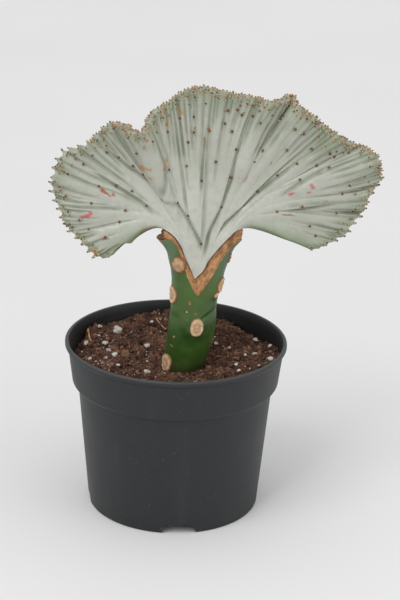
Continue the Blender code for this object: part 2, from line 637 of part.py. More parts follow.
def make_perlite(number, bearing, share, length, ground, surface):
    """One puffed, lumpy perlite grain."""
    bm = bmesh.new()
    bmesh.ops.create_icosphere(bm, subdivisions=1, radius=1.0)
    for vert in bm.verts:
        lump = noise(vert.co * 1.3 + Vector((number * 3.1, 0, 0)))
        vert.co *= 1 + PERLITE_LUMPS * lump
    narrow, wide = PERLITE_WIDTHS
    width = narrow + (wide - narrow) * abs(math.sin(number * 2.3))
    shape = Matrix.Diagonal((length / 2, width * length, PERLITE_THICKNESS * length, 1))
    shape = Matrix.Rotation(number * 1.7, 4, "Z") @ shape
    x, y = spot(bearing, share, LOOSE_MARGIN * length)
    bmesh.ops.transform(bm, matrix=Matrix.Translation((x, y, SOIL_LEVEL)) @ shape, verts=bm.verts)
    rest_on_soil(bm, ground)
    link(f"perlite_grain_{number:02d}", bm, surface)


def make_bark(number, bearing, share, length, ground, surface):
    """One flat, ragged bark chip."""
    bm = bmesh.new()
    bmesh.ops.create_cube(bm, size=1.0)
    bmesh.ops.subdivide_edges(bm, edges=bm.edges, cuts=2, use_grid_fill=True)
    for vert in bm.verts:
        ragged = noise(vert.co * 2.1 + Vector((0, number * 4.7, 0)))
        vert.co.y *= 1 - BARK_TAPER * vert.co.x
        vert.co *= Vector([1 + depth * ragged for depth in BARK_RAGGED])
    shape = Matrix.Diagonal((length, BARK_WIDTH * length, BARK_THICKNESS * length, 1))
    shape = Matrix.Rotation(0.35 + number * 1.3, 4, "Z") @ shape
    x, y = spot(bearing, share, LOOSE_MARGIN * length)
    bmesh.ops.transform(bm, matrix=Matrix.Translation((x, y, SOIL_LEVEL)) @ shape, verts=bm.verts)
    rest_on_soil(bm, ground)
    link(f"bark_chip_{number:02d}", bm, surface)


def make_straw(number, start, end, radius, ground, surface):
    """One dry straw lying on the soil, with raised ends."""
    first, last = (spot(bearing, share, radius) for bearing, share, _ in (start, end))
    along = (last - first).normalized()
    across = Vector((-along.y, along.x, 0))
    rings = []
    for step in range(STRAW_STEPS + 1):
        share = step / STRAW_STEPS
        place = first.lerp(last, share)
        rise = start[2] * (1 - share) ** 2 + end[2] * share**2
        ring = []
        for j in range(STRAW_SIDES):
            turn = math.tau * j / STRAW_SIDES
            side = across * math.cos(turn) + Vector((0, 0, 1)) * math.sin(turn)
            ring.append(Vector((place.x, place.y, SOIL_LEVEL + rise)) + radius * side)
        rings.append(ring)
    bm = rings_to_bmesh(rings)
    bmesh.ops.recalc_face_normals(bm, faces=bm.faces)
    rest_on_soil(bm, ground)
    link(f"straw_{number:02d}", bm, surface)


def build():
    """Make every piece of the potted plant."""
    for thing in list(bpy.data.objects):
        bpy.data.objects.remove(thing)
    plastic = material("black_plastic", (0.030, 0.033, 0.036), 0.42)
    peat = material("peat", (0.070, 0.032, 0.020), 0.95)
    green = material("green_stem", (0.050, 0.110, 0.022), 0.38)
    silver = material("crest_flesh", (0.430, 0.450, 0.390), 0.35)
    white = material("perlite", (0.620, 0.570, 0.520), 0.90)
    brown = material("bark", (0.200, 0.095, 0.050), 0.90)
    dry = material("straw", (0.420, 0.220, 0.090), 0.80)
    make_pot(plastic)
    make_soil(peat)
    make_rootstock(green)
    make_crest(silver)
    ground = BVHTree.FromBMesh(soil_bmesh())
    for number, (bearing, share, length) in enumerate(PERLITE, 1):
        make_perlite(number, bearing, share, length, ground, white)
    for number, (bearing, share, length) in enumerate(BARK, 1):
        make_bark(number, bearing, share, length, ground, brown)
    for number, (start, end, radius) in enumerate(STRAWS, 1):
        make_straw(number, start, end, radius, ground, dry)


build()
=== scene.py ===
# Looks of a potted crested euphorbia: a fan-shaped crest grafted in the V cleft of a green
# stock, in a nursery pot of peaty mix. Metres, +Z up, in the CAD model's frame.
import math

import bmesh
import bpy
import numpy as np
from mathutils import Matrix, Vector
from mathutils.bvhtree import BVHTree
from mathutils.noise import noise as blender_noise


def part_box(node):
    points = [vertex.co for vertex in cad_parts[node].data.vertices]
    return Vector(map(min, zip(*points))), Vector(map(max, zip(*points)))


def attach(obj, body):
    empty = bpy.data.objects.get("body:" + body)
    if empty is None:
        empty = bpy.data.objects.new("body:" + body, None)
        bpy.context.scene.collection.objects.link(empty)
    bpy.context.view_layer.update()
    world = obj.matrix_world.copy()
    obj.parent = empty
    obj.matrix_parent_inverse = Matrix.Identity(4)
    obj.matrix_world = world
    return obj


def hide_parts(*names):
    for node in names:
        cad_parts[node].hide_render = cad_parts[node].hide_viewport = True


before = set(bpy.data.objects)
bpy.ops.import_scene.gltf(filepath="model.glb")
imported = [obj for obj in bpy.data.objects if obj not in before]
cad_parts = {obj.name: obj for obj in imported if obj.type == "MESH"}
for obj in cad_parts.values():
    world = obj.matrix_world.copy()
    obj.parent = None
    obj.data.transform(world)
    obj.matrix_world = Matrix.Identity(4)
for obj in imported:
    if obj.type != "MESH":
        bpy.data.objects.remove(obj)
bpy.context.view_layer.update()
random = np.random.default_rng(11)

# Sizes that the CAD model has too
CLEARANCE = 0.0003
POT_HEIGHT = 0.1212
POT_RIM_RADIUS = 0.0775
POT_LIP_REACH = 0.0022
POT_LIP_HEIGHT = 0.0050
POT_COLLAR_HEIGHT = 0.0317
POT_COLLAR_TAPER = 0.0028
POT_SHOULDER = 0.0043
POT_BASE_RADIUS = 0.0604
POT_BASE_CORNER = 0.0012
POT_WALL = 0.0016
POT_FLOOR = 0.0020
CHANNEL_COUNT = 4
CHANNEL_BEARING = -84.6
CHANNEL_WIDTH = 0.0245
CHANNEL_ROOF_WIDTH = 0.0170
CHANNEL_HEIGHT = 0.0066
CHANNEL_LENGTH = 0.0270
DRAIN_HOLE_RADIUS = 0.0040
DRAIN_HOLE_INSET = 0.0090
SOIL_LEVEL = POT_HEIGHT - 0.0135
SOIL_CENTRE_DIP = 0.0035
SOIL_GRAIN = 0.0007
SOIL_EDGE = ((8, 0.005), (37, -0.003), (60, 0.004), (96, 0.008), (131, 0.002), (145, 0.007),
             (170, -0.002), (215, -0.001), (270, -0.002), (325, 0.000))
SOIL_BASE = 0.0120  # height of the finely made soil's underside
# Dents in the pot's wall, drawn only as painted shade: centre and radius
PAINTED_DENT_SHADES = (((0.0318, -0.0561, 0.0391), 0.0011), ((0.0497, -0.0562, 0.1046), 0.0013),
             ((-0.0128, -0.0633, 0.0500), 0.0012))
STOCK_FOOT = (0.0050, -0.0100)
STOCK_RADIUS = 0.0133
STOCK_HEIGHT = 0.0657
STOCK_RIB = 0.025
STOCK_STATIONS = (
    (-0.84, -0.15, 0.40, 0.40), (-0.76, -0.15, 0.66, 0.66), (-0.45, -0.08, 0.90, 0.88),
    (-0.10, 0.00, 1.00, 0.98), (0.39, 0.38, 1.22, 1.08), (0.76, 0.52, 1.17, 1.05),
    (1.12, 0.67, 1.45, 1.00), (1.30, 0.68, 1.76, 0.92), (1.42, 0.64, 2.20, 0.82),
    (1.50, 0.66, 2.28, 0.76), (1.62, 0.68, 2.30, 0.70),
)
CLEFT = ((-1.46, 1.515), (-1.20, 1.522), (-0.955, 1.510), (-0.62, 1.460), (-0.278, 1.370),
         (0.045, 1.215), (0.519, 1.000), (0.932, 1.088), (1.173, 1.190), (1.617, 1.318),
         (2.226, 1.465), (2.594, 1.535), (3.045, 1.535))
CREST_REACH = 0.1335
CREST_CENTRE = (0.73, 1.423)
CREST_SETBACK = 0.0020
CREST_BASE_HALF = 0.78
CREST_NECK_HALF = 0.0055
CREST_EDGE_HALF = 0.0027
CREST_EDGE = (
    (-104.2, 47.6, 2.0), (-105.5, 51.0, 3.0),
    (-103.4, 55.8, 3.0), (-95.2, 62.3, 1.5), (-89.0, 69.4, -1.5), (-80.1, 74.9, 1.5),
    (-74.5, 79.9, -1.5), (-67.4, 82.6, 1.5), (-61.7, 83.9, 0.0), (-57.0, 81.7, -2.0),
    (-51.5, 76.9, 1.5), (-47.2, 75.6, -1.5), (-41.4, 75.1, -4.5), (-36.0, 72.5, -4.5),
    (-32.8, 68.7, 4.5), (-30.3, 65.5, 9.0), (-24.9, 67.2, 6.0), (-21.3, 70.5, -1.5),
    (-16.2, 71.0, -6.0), (-10.1, 73.9, -9.0), (-4.6, 76.3, -9.0), (0.7, 77.5, -6.0),
    (6.6, 77.4, -1.5), (13.2, 77.9, 1.5), (19.9, 78.9, 0.0), (25.4, 81.0, 3.0),
    (28.1, 83.4, 0.0), (30.5, 86.6, -6.0), (33.2, 86.5, -3.0), (34.5, 86.0, 2.0),
    (39.7, 86.1, 0.0), (46.3, 86.4, -2.0), (51.0, 89.1, 2.0), (56.3, 92.4, -2.0),
    (59.4, 97.3, 0.0), (63.3, 100.0, 3.0), (67.9, 98.8, 0.0), (72.1, 94.8, -2.0),
    (75.0, 89.2, 2.0), (80.3, 85.1, -1.5), (83.7, 79.9, 1.5), (89.3, 74.0, -2.0),
    (92.5, 67.4, 1.5), (94.9, 61.5, 2.0), (95.9, 57.6, 1.5),
)
CREST_FLOW = (
    (0.00, -120, -140), (0.05, -72, -110), (0.10, -40, -88), (0.20, -19, -60), (0.30, -13, -36),
    (0.40, -9, -14), (0.47, 2, -2), (0.55, 14, 18), (0.65, 19, 36), (0.75, 24, 56),
    (0.85, 28, 74), (0.90, 29, 88), (0.95, 57, 98), (1.00, 104, 114),
)

# Detail of the crest: areoles at the lower ends of its ribs, as shares along the fan and out
AREOLES = (
    (0.20, 0.88), (0.16, 0.87), (0.23, 0.84), (0.28, 0.85), (0.29, 0.77), (0.20, 0.68),
    (0.22, 0.58), (0.255, 0.53), (0.15, 0.70), (0.115, 0.82), (0.135, 0.48), (0.20, 0.35),
    (0.09, 0.50), (0.055, 0.70), (0.085, 0.78), (0.315, 0.52), (0.385, 0.42), (0.435, 0.335),
    (0.31, 0.60), (0.385, 0.65), (0.445, 0.60), (0.49, 0.50), (0.57, 0.35), (0.525, 0.61),
    (0.575, 0.52), (0.565, 0.69), (0.545, 0.78), (0.53, 0.83), (0.505, 0.77), (0.47, 0.765),
    (0.455, 0.72), (0.41, 0.84), (0.44, 0.86), (0.47, 0.835), (0.53, 0.89), (0.545, 0.905),
    (0.555, 0.885), (0.575, 0.885), (0.59, 0.86), (0.61, 0.61), (0.64, 0.67), (0.71, 0.59),
    (0.705, 0.44), (0.70, 0.34), (0.905, 0.40), (0.715, 0.70), (0.67, 0.75), (0.635, 0.86),
    (0.655, 0.87), (0.675, 0.87), (0.71, 0.82), (0.735, 0.86), (0.75, 0.85), (0.745, 0.75),
    (0.775, 0.74), (0.775, 0.58), (0.765, 0.90), (0.82, 0.80), (0.85, 0.78), (0.87, 0.57),
    (0.895, 0.80), (0.96, 0.77), (0.30, 0.68), (0.35, 0.83), (0.93, 0.66), (0.50, 0.165),
)
# Long folds of the face, as (share along the fan, share out) from the cleft outwards
FOLDS = (
    ((0.52, 0.10), (0.50, 0.18), (0.455, 0.27), (0.43, 0.335), (0.38, 0.43), (0.32, 0.52),
     (0.295, 0.68), (0.285, 0.85)),
    ((0.53, 0.05), (0.535, 0.22), (0.575, 0.36), (0.58, 0.52), (0.57, 0.69)),
    ((0.60, 0.12), (0.66, 0.25), (0.70, 0.34), (0.708, 0.44), (0.712, 0.59), (0.713, 0.72)),
    ((0.17, 0.24), (0.20, 0.36), (0.215, 0.55), (0.225, 0.72)),
    ((0.35, 0.46), (0.375, 0.60), (0.385, 0.72)),
    ((0.49, 0.40), (0.49, 0.55), (0.495, 0.72)),
    ((0.905, 0.42), (0.88, 0.60), (0.87, 0.76)),
    ((0.80, 0.40), (0.785, 0.56), (0.775, 0.72)),
)
# How finely the pieces are made, and how many small things there are
POT_COLUMNS = 240
SOIL_COLUMNS = 420
SOIL_RINGS = 95
FOOT_COLUMNS = 90
CRUMB_COUNT = 3000
FIBRE_COUNT = 240
SPECK_COUNT = 260
STOCK_COLUMNS = 240
STOCK_ROWS = 190
CALLUS_ROWS = 30
SCAR_COLUMNS = 40
BACK_AREOLES = 62
YOUNG_AREOLES = 84
CREST_COLUMNS = 681
CREST_ROWS = 70
TEETH = 70  # teeth along the whole edge
FOLD_DEPTH = 0.0019
FOLD_WIDTH = 0.0009
RIB_WIDTH = 0.00085  # of the grooves beside the ribs
LINE_WIDTH = 0.0006  # of the fine lines that run inwards from the areoles
WAVE_COUNT = 38
RIB_SPACING = 0.0088  # between unmarked ribs, as a share of the fan
CREST_INSET = 0.0012  # the fan's edge inside the tips of its teeth

# Outer edge of the callus on the stock, in stock radii and heights like the cleft
BAND_FOOT = ((-1.50, 1.400), (-1.12, 1.408), (-0.985, 1.430), (-0.53, 1.393), (-0.316, 1.318),
             (-0.045, 1.143), (0.173, 1.024), (0.496, 0.883), (0.729, 0.828), (0.955, 0.907),
             (1.30, 0.997), (1.69, 1.164), (2.18, 1.300), (2.52, 1.385), (3.05, 1.395))
CALLUS_BULGE = 0.0011
SCAR_LIFT = 0.0004
SCAR_DOME = 0.0007
EAR_NOTCH = -0.0098  # where the notch beside the left arm's ear ends
# Leaf scars: bearing, height in stock heights, width, height and how brown they are
SCARS = (
    (-78, 0.490, 0.0088, 0.0138, 0.22), (-146, 0.043, 0.0118, 0.0145, 0.45),
    (-154, 0.808, 0.0100, 0.0135, 0.35), (-129, 1.155, 0.0082, 0.0112, 1.35),
    (-14, 0.907, 0.0090, 0.0110, 0.35), (-31, 0.816, 0.0036, 0.0044, 0.95),
    (62, 0.300, 0.0095, 0.0130, 0.35), (118, 0.700, 0.0090, 0.0120, 0.30),
    (40, 1.020, 0.0080, 0.0100, 0.45),
)
# Small warts: bearing, height in stock heights and width
DOTS = (
    (-100, 0.758, 0.0024), (-106, 0.656, 0.0019), (-131, 0.361, 0.0018), (-133, 0.249, 0.0013),
    (-138, 0.262, 0.0010), (75, 0.620, 0.0020), (100, 0.420, 0.0016), (20, 0.250, 0.0015),
    (-103, 0.570, 0.0008),
    (-5, 1.180, 0.0042), (-12, 1.235, 0.0026),
)


FLOOR_HALF = 4.0

# Camera and light: degrees, metres and watts
CAMERA_LENS = 114.0
CAMERA_SENSOR = 36.0
CAMERA_PITCH = 21.09
CAMERA_ROLL = 1.585
CAMERA_DISTANCE = 1.31808
CAMERA_TARGET = (0.0159, 0.0, 0.1508)
SKY_STRENGTH = 0.78
SUN_STRENGTH = 0.80
SUN_SPREAD = 32
SUN_HEADING = (0.55, 0.60, -1.0)


# ---------------------------------------------------------------- mesh tools

def hashed(cell, seed):
    """A repeatable random number from -1 to 1 for each whole-number cell."""
    x, y, z = (cell[..., k].astype(np.int64) for k in range(3))
    n = (x * 73856093) ^ (y * 19349663) ^ (z * 83492791) ^ (seed * 2654435761)
    n = ((n ^ (n >> 13)) * 1274126177) & 0xFFFFFFFF
    n = ((n ^ (n >> 16)) * 2246822519) & 0xFFFFFFFF
    return ((n >> 8) & 0xFFFF) / 32767.5 - 1


def lumps(points, size, seed=0):
    """Smooth noise from -1 to 1 with lumps of about the given size."""
    scaled = np.asarray(points, dtype=float) / size
    cell = np.floor(scaled)
    t = scaled - cell
    t = t * t * t * (t * (6 * t - 15) + 10)
    total = np.zeros(scaled.shape[:-1])
    for corner in np.ndindex(2, 2, 2):
        weight = np.prod(np.where(corner, t, 1 - t), axis=-1)
        total += weight * hashed(cell + corner, seed)
    return total


def blend_step(low, high, x):
    """Smooth step from 0 at low to 1 at high."""
    t = np.clip((x - low) / (high - low), 0, 1)
    return t * t * (3 - 2 * t)


def hump(x, centre, width):
    """A bell of height 1 about a centre."""
    return np.exp(-((x - centre) / width) ** 2)


def grid_faces(rows, columns, closed=False, flip=False):
    """Quads of a grid of points that are numbered row by row."""
    i, j = np.meshgrid(np.arange(rows - 1), np.arange(columns if closed else columns - 1), indexing="ij")
    k = (j + 1) % columns
    low, high = i * columns, (i + 1) * columns
    quads = np.stack([low + j, low + k, high + k, high + j], axis=-1).reshape(-1, 4)
    return quads[:, ::-1] if flip else quads


def placed(name, data):
    """A new object in the scene."""
    made = bpy.data.objects.new(name, data)
    bpy.context.scene.collection.objects.link(made)
    return made


def set_values(mesh, values):
    """Give a mesh named values for its material, one number for each point."""
    for key, value in values.items():
        layer = mesh.attributes.new(key, "FLOAT", "POINT")
        layer.data.foreach_set("value", value.astype(np.float32))


def taken_apart(bm):
    """Points and faces of a bmesh whose faces all have as many corners; frees it."""
    points = np.array([v.co for v in bm.verts])
    faces = np.array([[v.index for v in f.verts] for f in bm.faces])
    bm.free()
    return points, faces


class Skin:
    """Points, faces and named values of a piece while it is put together."""

    def __init__(self):
        self.points, self.faces, self.values, self.count = [], [], [], 0

    def add(self, points, faces, **values):
        points = np.asarray(points, dtype=float).reshape(-1, 3)
        self.points.append(points)
        self.faces += [np.asarray(group) + self.count for group in faces]
        self.values.append({n: np.broadcast_to(np.ravel(v), (len(points),)) for n, v in values.items()})
        self.count += len(points)

    def piece(self, name, surface, slot, *nodes, sharp=None):
        """Make the piece, riding on the one body and standing for the CAD nodes given."""
        points = np.concatenate(self.points)
        sizes = np.concatenate([np.full(len(f), f.shape[1]) for f in self.faces])
        corners = np.concatenate([f.ravel() for f in self.faces])
        mesh = bpy.data.meshes.new(name)
        mesh.vertices.add(len(points))
        mesh.vertices.foreach_set("co", points.astype(np.float32).ravel())
        mesh.loops.add(len(corners))
        mesh.loops.foreach_set("vertex_index", corners.astype(np.int32))
        mesh.polygons.add(len(sizes))
        starts = np.concatenate([[0], np.cumsum(sizes)[:-1]])
        mesh.polygons.foreach_set("loop_start", starts.astype(np.int32))
        mesh.update(calc_edges=True)
        names = sorted({key for part in self.values for key in part})
        parts = list(zip(self.values, self.points))
        set_values(mesh, {n: np.concatenate([v.get(n, np.zeros(len(p))) for v, p in parts]) for n in names})
        finish_piece(name, mesh, surface, nodes, sharp)


def finish_piece(name, mesh, surface, nodes, sharp=None):
    """Turn a mesh into a piece of the plant."""
    mesh.validate()
    mesh.shade_smooth()
    if sharp is not None:
        mesh.set_sharp_from_angle(angle=math.radians(sharp))
    mesh.materials.clear()
    mesh.materials.append(surface)
    thing = placed(name, mesh)
    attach(thing, "root")
    if nodes:
        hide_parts(*nodes)


def smooth_curve(knots, values, at):
    """Values of a smooth curve through a table, at places along its knots."""
    knots, values, at = (np.asarray(a, dtype=float) for a in (knots, values, at))
    flat = values.reshape(len(knots), -1)
    slopes = np.gradient(flat, knots, axis=0)
    left = np.clip(np.searchsorted(knots, at, side="right") - 1, 0, len(knots) - 2)
    width = (knots[left + 1] - knots[left])[:, None]
    t = (at - knots[left])[:, None] / width
    found = ((2 * t**3 - 3 * t**2 + 1) * flat[left] + (t**3 - 2 * t**2 + t) * width * slopes[left]
             + (3 * t**2 - 2 * t**3) * flat[left + 1] + (t**3 - t**2) * width * slopes[left + 1])
    return found.reshape((len(at),) + values.shape[1:])


def smooth_path(points, params):
    """Points of a smooth curve through the given points, at shares of its chord length."""
    points = np.array(points, dtype=float)
    steps = np.linalg.norm(np.diff(points[:, :2], axis=0), axis=1)
    return smooth_curve(np.concatenate([[0.0], np.cumsum(steps)]) / steps.sum(), points, params)


def blur_along(grid, reach):
    """Average a grid's columns with their neighbours."""
    kernel = np.exp(-0.5 * (np.arange(-3 * reach, 3 * reach + 1) / reach) ** 2)
    kernel /= kernel.sum()
    padded = np.concatenate([np.repeat(grid[:1], 3 * reach, 0), grid, np.repeat(grid[-1:], 3 * reach, 0)])
    return sum(weight * padded[k:k + len(grid)] for k, weight in enumerate(kernel))


# ---------------------------------------------------------------- material tools

class Paint:
    """A node material under construction, with its base colour so far in base."""

    def __init__(self, name, **constants):
        self.material = bpy.data.materials.new(name)
        self.material.use_nodes = True
        self.tree = self.material.node_tree
        self.shader = self.tree.nodes["Principled BSDF"]
        for socket, value in constants.items():
            self.shader.inputs[socket.replace("_", " ")].default_value = value
        self.place = self.make("ShaderNodeTexCoord").outputs["Object"]

    def make(self, kind, **settings):
        node = self.tree.nodes.new(kind)
        for key, value in settings.items():
            setattr(node, key, value)
        return node

    def put(self, socket, value):
        if isinstance(value, bpy.types.NodeSocket):
            self.tree.links.new(value, socket)
        elif isinstance(value, tuple) and len(value) == 3 and socket.type == "RGBA":
            socket.default_value = (*value, 1)
        else:
            socket.default_value = value

    def stretched(self, scale):
        node = self.make("ShaderNodeMapping")
        self.put(node.inputs["Vector"], self.place)
        node.inputs["Scale"].default_value = scale
        return node.outputs["Vector"]

    def noise(self, scale, detail=3.0, roughness=0.55, place=None, distortion=0.0):
        node = self.make("ShaderNodeTexNoise")
        self.put(node.inputs["Vector"], place or self.place)
        for key, value in (("Scale", scale), ("Detail", detail), ("Roughness", roughness),
                           ("Distortion", distortion)):
            node.inputs[key].default_value = value
        return node.outputs["Fac"]

    def cells(self, scale, place=None):
        node = self.make("ShaderNodeTexVoronoi")
        self.put(node.inputs["Vector"], place or self.place)
        node.inputs["Scale"].default_value = scale
        return node.outputs["Distance"]

    def value(self, name):
        return self.make("ShaderNodeAttribute", attribute_name=name).outputs["Fac"]

    def remap(self, value, low, high, to_low=0.0, to_high=1.0):
        node = self.make("ShaderNodeMapRange")
        self.put(node.inputs["Value"], value)
        for key, number in (("From Min", low), ("From Max", high), ("To Min", to_low), ("To Max", to_high)):
            node.inputs[key].default_value = number
        return node.outputs["Result"]

    def maths(self, operation, a, b=0.5):
        node = self.make("ShaderNodeMath", operation=operation)
        self.put(node.inputs[0], a)
        self.put(node.inputs[1], b)
        return node.outputs[0]

    def mix(self, share, a, b):
        node = self.make("ShaderNodeMix", data_type="RGBA")
        sockets = {s.identifier: s for s in node.inputs}
        self.put(sockets["Factor_Float"], share)
        self.put(sockets["A_Color"], a)
        self.put(sockets["B_Color"], b)
        return next(s for s in node.outputs if s.identifier == "Result_Color")

    def layer(self, share, colour, strength=None):
        """Lay a colour over the base colour so far."""
        if strength is not None:
            share = self.maths("MULTIPLY", share, strength)
        self.base = self.mix(share, self.base, colour)

    def plus(self, a, b, strength):
        return self.maths("ADD", a, self.maths("MULTIPLY", b, strength))

    def finish(self, roughness, height, strength, distance):
        """Connect the base colour, the roughness and a bump of a height."""
        bump = self.make("ShaderNodeBump")
        bump.inputs["Strength"].default_value = strength
        bump.inputs["Distance"].default_value = distance
        self.put(bump.inputs["Height"], height)
        self.put(self.shader.inputs["Normal"], bump.outputs["Normal"])
        self.put(self.shader.inputs["Base Color"], self.base)
        self.put(self.shader.inputs["Roughness"], roughness)
        return self.material


def plastic_material():
    p = Paint("moulded_plastic", Specular_IOR_Level=0.42)
    up = p.make("ShaderNodeSeparateXYZ")
    p.put(up.inputs[0], p.place)
    height = up.outputs["Z"]
    cloud = p.noise(22, 4)
    streak = p.noise(60, 3, place=p.stretched((1.0, 1.0, 0.12)))
    p.base = p.mix(cloud, (0.0105, 0.0120, 0.0132), (0.0165, 0.0185, 0.0200))
    p.layer(p.remap(streak, 0.55, 0.75, 0.0, 0.25), (0.036, 0.039, 0.040))
    # painted shade: the inner wall above the channels is darkened almost to black
    inside = p.value("inside")
    p.layer(inside, (0.0030, 0.0032, 0.0033))
    dust = p.remap(p.noise(420, 2), 0.66, 0.74, 0.0, 0.55)
    foot = p.remap(height, 0.0, 0.012, 0.55, 0.0)
    p.layer(p.maths("MULTIPLY", dust, p.maths("ADD", foot, 0.25)), (0.16, 0.14, 0.12))
    # painted highlight: a lighter band along the top of the lip
    p.layer(p.value("edge"), (0.085, 0.090, 0.095), 0.40)
    # painted shade: the pot is darkened round each dent, whose wall stays smooth
    for dent, size in PAINTED_DENT_SHADES:
        away = p.make("ShaderNodeVectorMath", operation="DISTANCE")
        p.put(away.inputs[0], p.place)
        away.inputs[1].default_value = dent
        p.layer(p.remap(away.outputs["Value"], size, 0.4 * size, 0.0, 0.8), (0.006, 0.006, 0.007))
    scuff = p.remap(p.noise(95, 5, 0.7, distortion=1.2), 0.60, 0.72, 0.0, 1.0)
    p.layer(scuff, (0.050, 0.053, 0.055), 0.22)
    rough = p.plus(p.remap(cloud, 0.3, 0.7, 0.44, 0.56), scuff, 0.12)
    grain = p.plus(p.noise(1500, 2), streak, 0.6)
    return p.finish(rough, grain, 0.12, 0.0003)


def soil_material(name, dark, light):
    p = Paint(name, Specular_IOR_Level=0.25)
    clump = p.noise(160, 5, 0.65)
    fibre = p.noise(700, 3, 0.6)
    p.base = p.mix(p.remap(clump, 0.32, 0.68), dark, light)
    p.layer(p.remap(fibre, 0.50, 0.75, 0.0, 0.55), (0.190, 0.095, 0.058))
    # painted shade darkens the bed's hollows; on loose crumbs the same value is a random darker tone
    hollow = p.value("hollow")
    p.layer(hollow, (0.008, 0.004, 0.003), 0.85)
    p.layer(p.value("tone"), (0.250, 0.130, 0.080))
    speck = p.remap(p.cells(520), 0.10, 0.05, 0.0, 0.5)
    p.layer(p.maths("MULTIPLY", speck, p.remap(clump, 0.5, 0.6)), (0.24, 0.16, 0.11))
    rough = p.remap(fibre, 0.3, 0.7, 0.82, 0.97)
    return p.finish(rough, p.maths("ADD", clump, fibre), 0.75, 0.0009)


def perlite_material():
    p = Paint("expanded_perlite", Specular_IOR_Level=0.3)
    pit = p.cells(1400)
    cloud = p.noise(500, 4)
    p.base = p.mix(p.remap(cloud, 0.3, 0.7), (0.50, 0.45, 0.40), (0.80, 0.775, 0.74))
    p.layer(p.remap(pit, 0.28, 0.08, 0.0, 0.5), (0.30, 0.24, 0.19))
    p.layer(p.maths("MULTIPLY", p.value("dirt"), p.remap(cloud, 0.4, 0.62)), (0.16, 0.085, 0.055))
    return p.finish(p.remap(cloud, 0.3, 0.7, 0.78, 0.95), pit, 0.55, 0.0004)


def bark_material():
    p = Paint("bark_chips", Specular_IOR_Level=0.3)
    grain = p.noise(260, 5, 0.6, place=p.stretched((1.0, 3.2, 2.0)))
    fleck = p.noise(900, 3)
    p.base = p.mix(p.remap(grain, 0.35, 0.65), (0.100, 0.048, 0.028), (0.240, 0.125, 0.070))
    p.layer(p.remap(fleck, 0.6, 0.7, 0.0, 0.6), (0.36, 0.20, 0.11))
    return p.finish(p.remap(grain, 0.3, 0.7, 0.75, 0.92), grain, 0.6, 0.0006)


def straw_material():
    p = Paint("dry_straw", Specular_IOR_Level=0.35)
    grain = p.noise(600, 3, place=p.stretched((1.0, 1.0, 0.3)))
    p.base = p.mix(p.remap(grain, 0.35, 0.65), (0.30, 0.13, 0.045), (0.55, 0.31, 0.13))
    return p.finish(p.remap(grain, 0.3, 0.7, 0.6, 0.8), grain, 0.4, 0.0003)


def stem_material():
    p = Paint("green_stock", Specular_IOR_Level=0.42, Coat_Weight=0.18, Coat_Roughness=0.16)
    cloud = p.noise(45, 4, 0.6)
    fine = p.noise(380, 3, 0.6)
    p.base = p.mix(p.remap(cloud, 0.35, 0.68), (0.016, 0.048, 0.007), (0.046, 0.104, 0.014))
    p.layer(p.value("young"), (0.056, 0.118, 0.010), 0.85)
    # waxy coat, laid on as painted sheen along the left-facing edge and the right side
    p.layer(p.value("bloom"), (0.150, 0.205, 0.150), 0.55)
    p.layer(p.remap(fine, 0.62, 0.74, 0.0, 0.25), (0.10, 0.16, 0.06))
    p.layer(p.value("foot"), (0.028, 0.030, 0.010))
    p.layer(p.value("brown"), (0.300, 0.115, 0.035))
    scratch = p.remap(p.noise(210, 3, 0.6, place=p.stretched((1.0, 1.0, 0.25))), 0.68, 0.74, 0.0, 0.35)
    p.layer(scratch, (0.13, 0.16, 0.09))
    rough = p.plus(p.remap(cloud, 0.3, 0.7, 0.30, 0.44), p.value("bloom"), 0.2)
    return p.finish(rough, p.plus(fine, cloud, 0.5), 0.16, 0.0004)


def cork_material(name, pale, mid, dark):
    p = Paint(name, Specular_IOR_Level=0.3)
    grain = p.noise(330, 5, 0.65)
    crack = p.remap(p.cells(420, place=p.stretched((1.0, 1.0, 0.55))), 0.02, 0.18)
    p.base = p.mix(p.remap(grain, 0.32, 0.66), mid, pale)
    p.layer(p.remap(crack, 0.0, 1.0, 1.0, 0.0), dark, 0.35)
    p.layer(p.value("brown"), dark)
    p.layer(p.remap(p.noise(1100, 2), 0.62, 0.72, 0.0, 0.45), (0.50, 0.36, 0.22))
    rough = p.remap(grain, 0.3, 0.7, 0.62, 0.86)
    return p.finish(rough, p.plus(grain, crack, 0.4), 0.5, 0.0005)


def crest_material():
    p = Paint("crest_skin", Specular_IOR_Level=0.45, Coat_Weight=0.35, Coat_Roughness=0.17)
    cloud = p.noise(38, 4, 0.6)
    mottle = p.noise(190, 4, 0.62)
    fine = p.noise(900, 3, 0.6)
    p.base = p.mix(p.remap(cloud, 0.32, 0.68), (0.428, 0.436, 0.380), (0.512, 0.514, 0.464))
    # painted shade: darker towards the right side of the fan and towards its outer edge
    p.layer(p.value("out"), (0.285, 0.300, 0.232))
    p.layer(p.remap(mottle, 0.50, 0.72, 0.0, 0.35), (0.270, 0.300, 0.225))
    # painted shade darkens the grooves between the ribs
    p.layer(p.value("groove"), (0.105, 0.142, 0.070), 0.75)
    p.layer(p.value("green"), (0.105, 0.180, 0.042))
    wax = p.remap(p.noise(260, 5, 0.7, distortion=0.8), 0.60, 0.76, 0.0, 0.45)
    p.layer(wax, (0.60, 0.62, 0.585))
    p.layer(p.remap(fine, 0.64, 0.74, 0.0, 0.22), (0.27, 0.32, 0.22))
    p.layer(p.value("tan"), (0.400, 0.190, 0.060))
    p.layer(p.value("pink"), (0.470, 0.060, 0.085))
    p.layer(p.value("rust"), (0.330, 0.060, 0.022))
    p.layer(p.value("brown"), (0.240, 0.105, 0.050))
    rough = p.plus(p.remap(mottle, 0.3, 0.7, 0.34, 0.50), wax, 0.2)
    return p.finish(rough, p.maths("ADD", fine, mottle), 0.15, 0.0004)


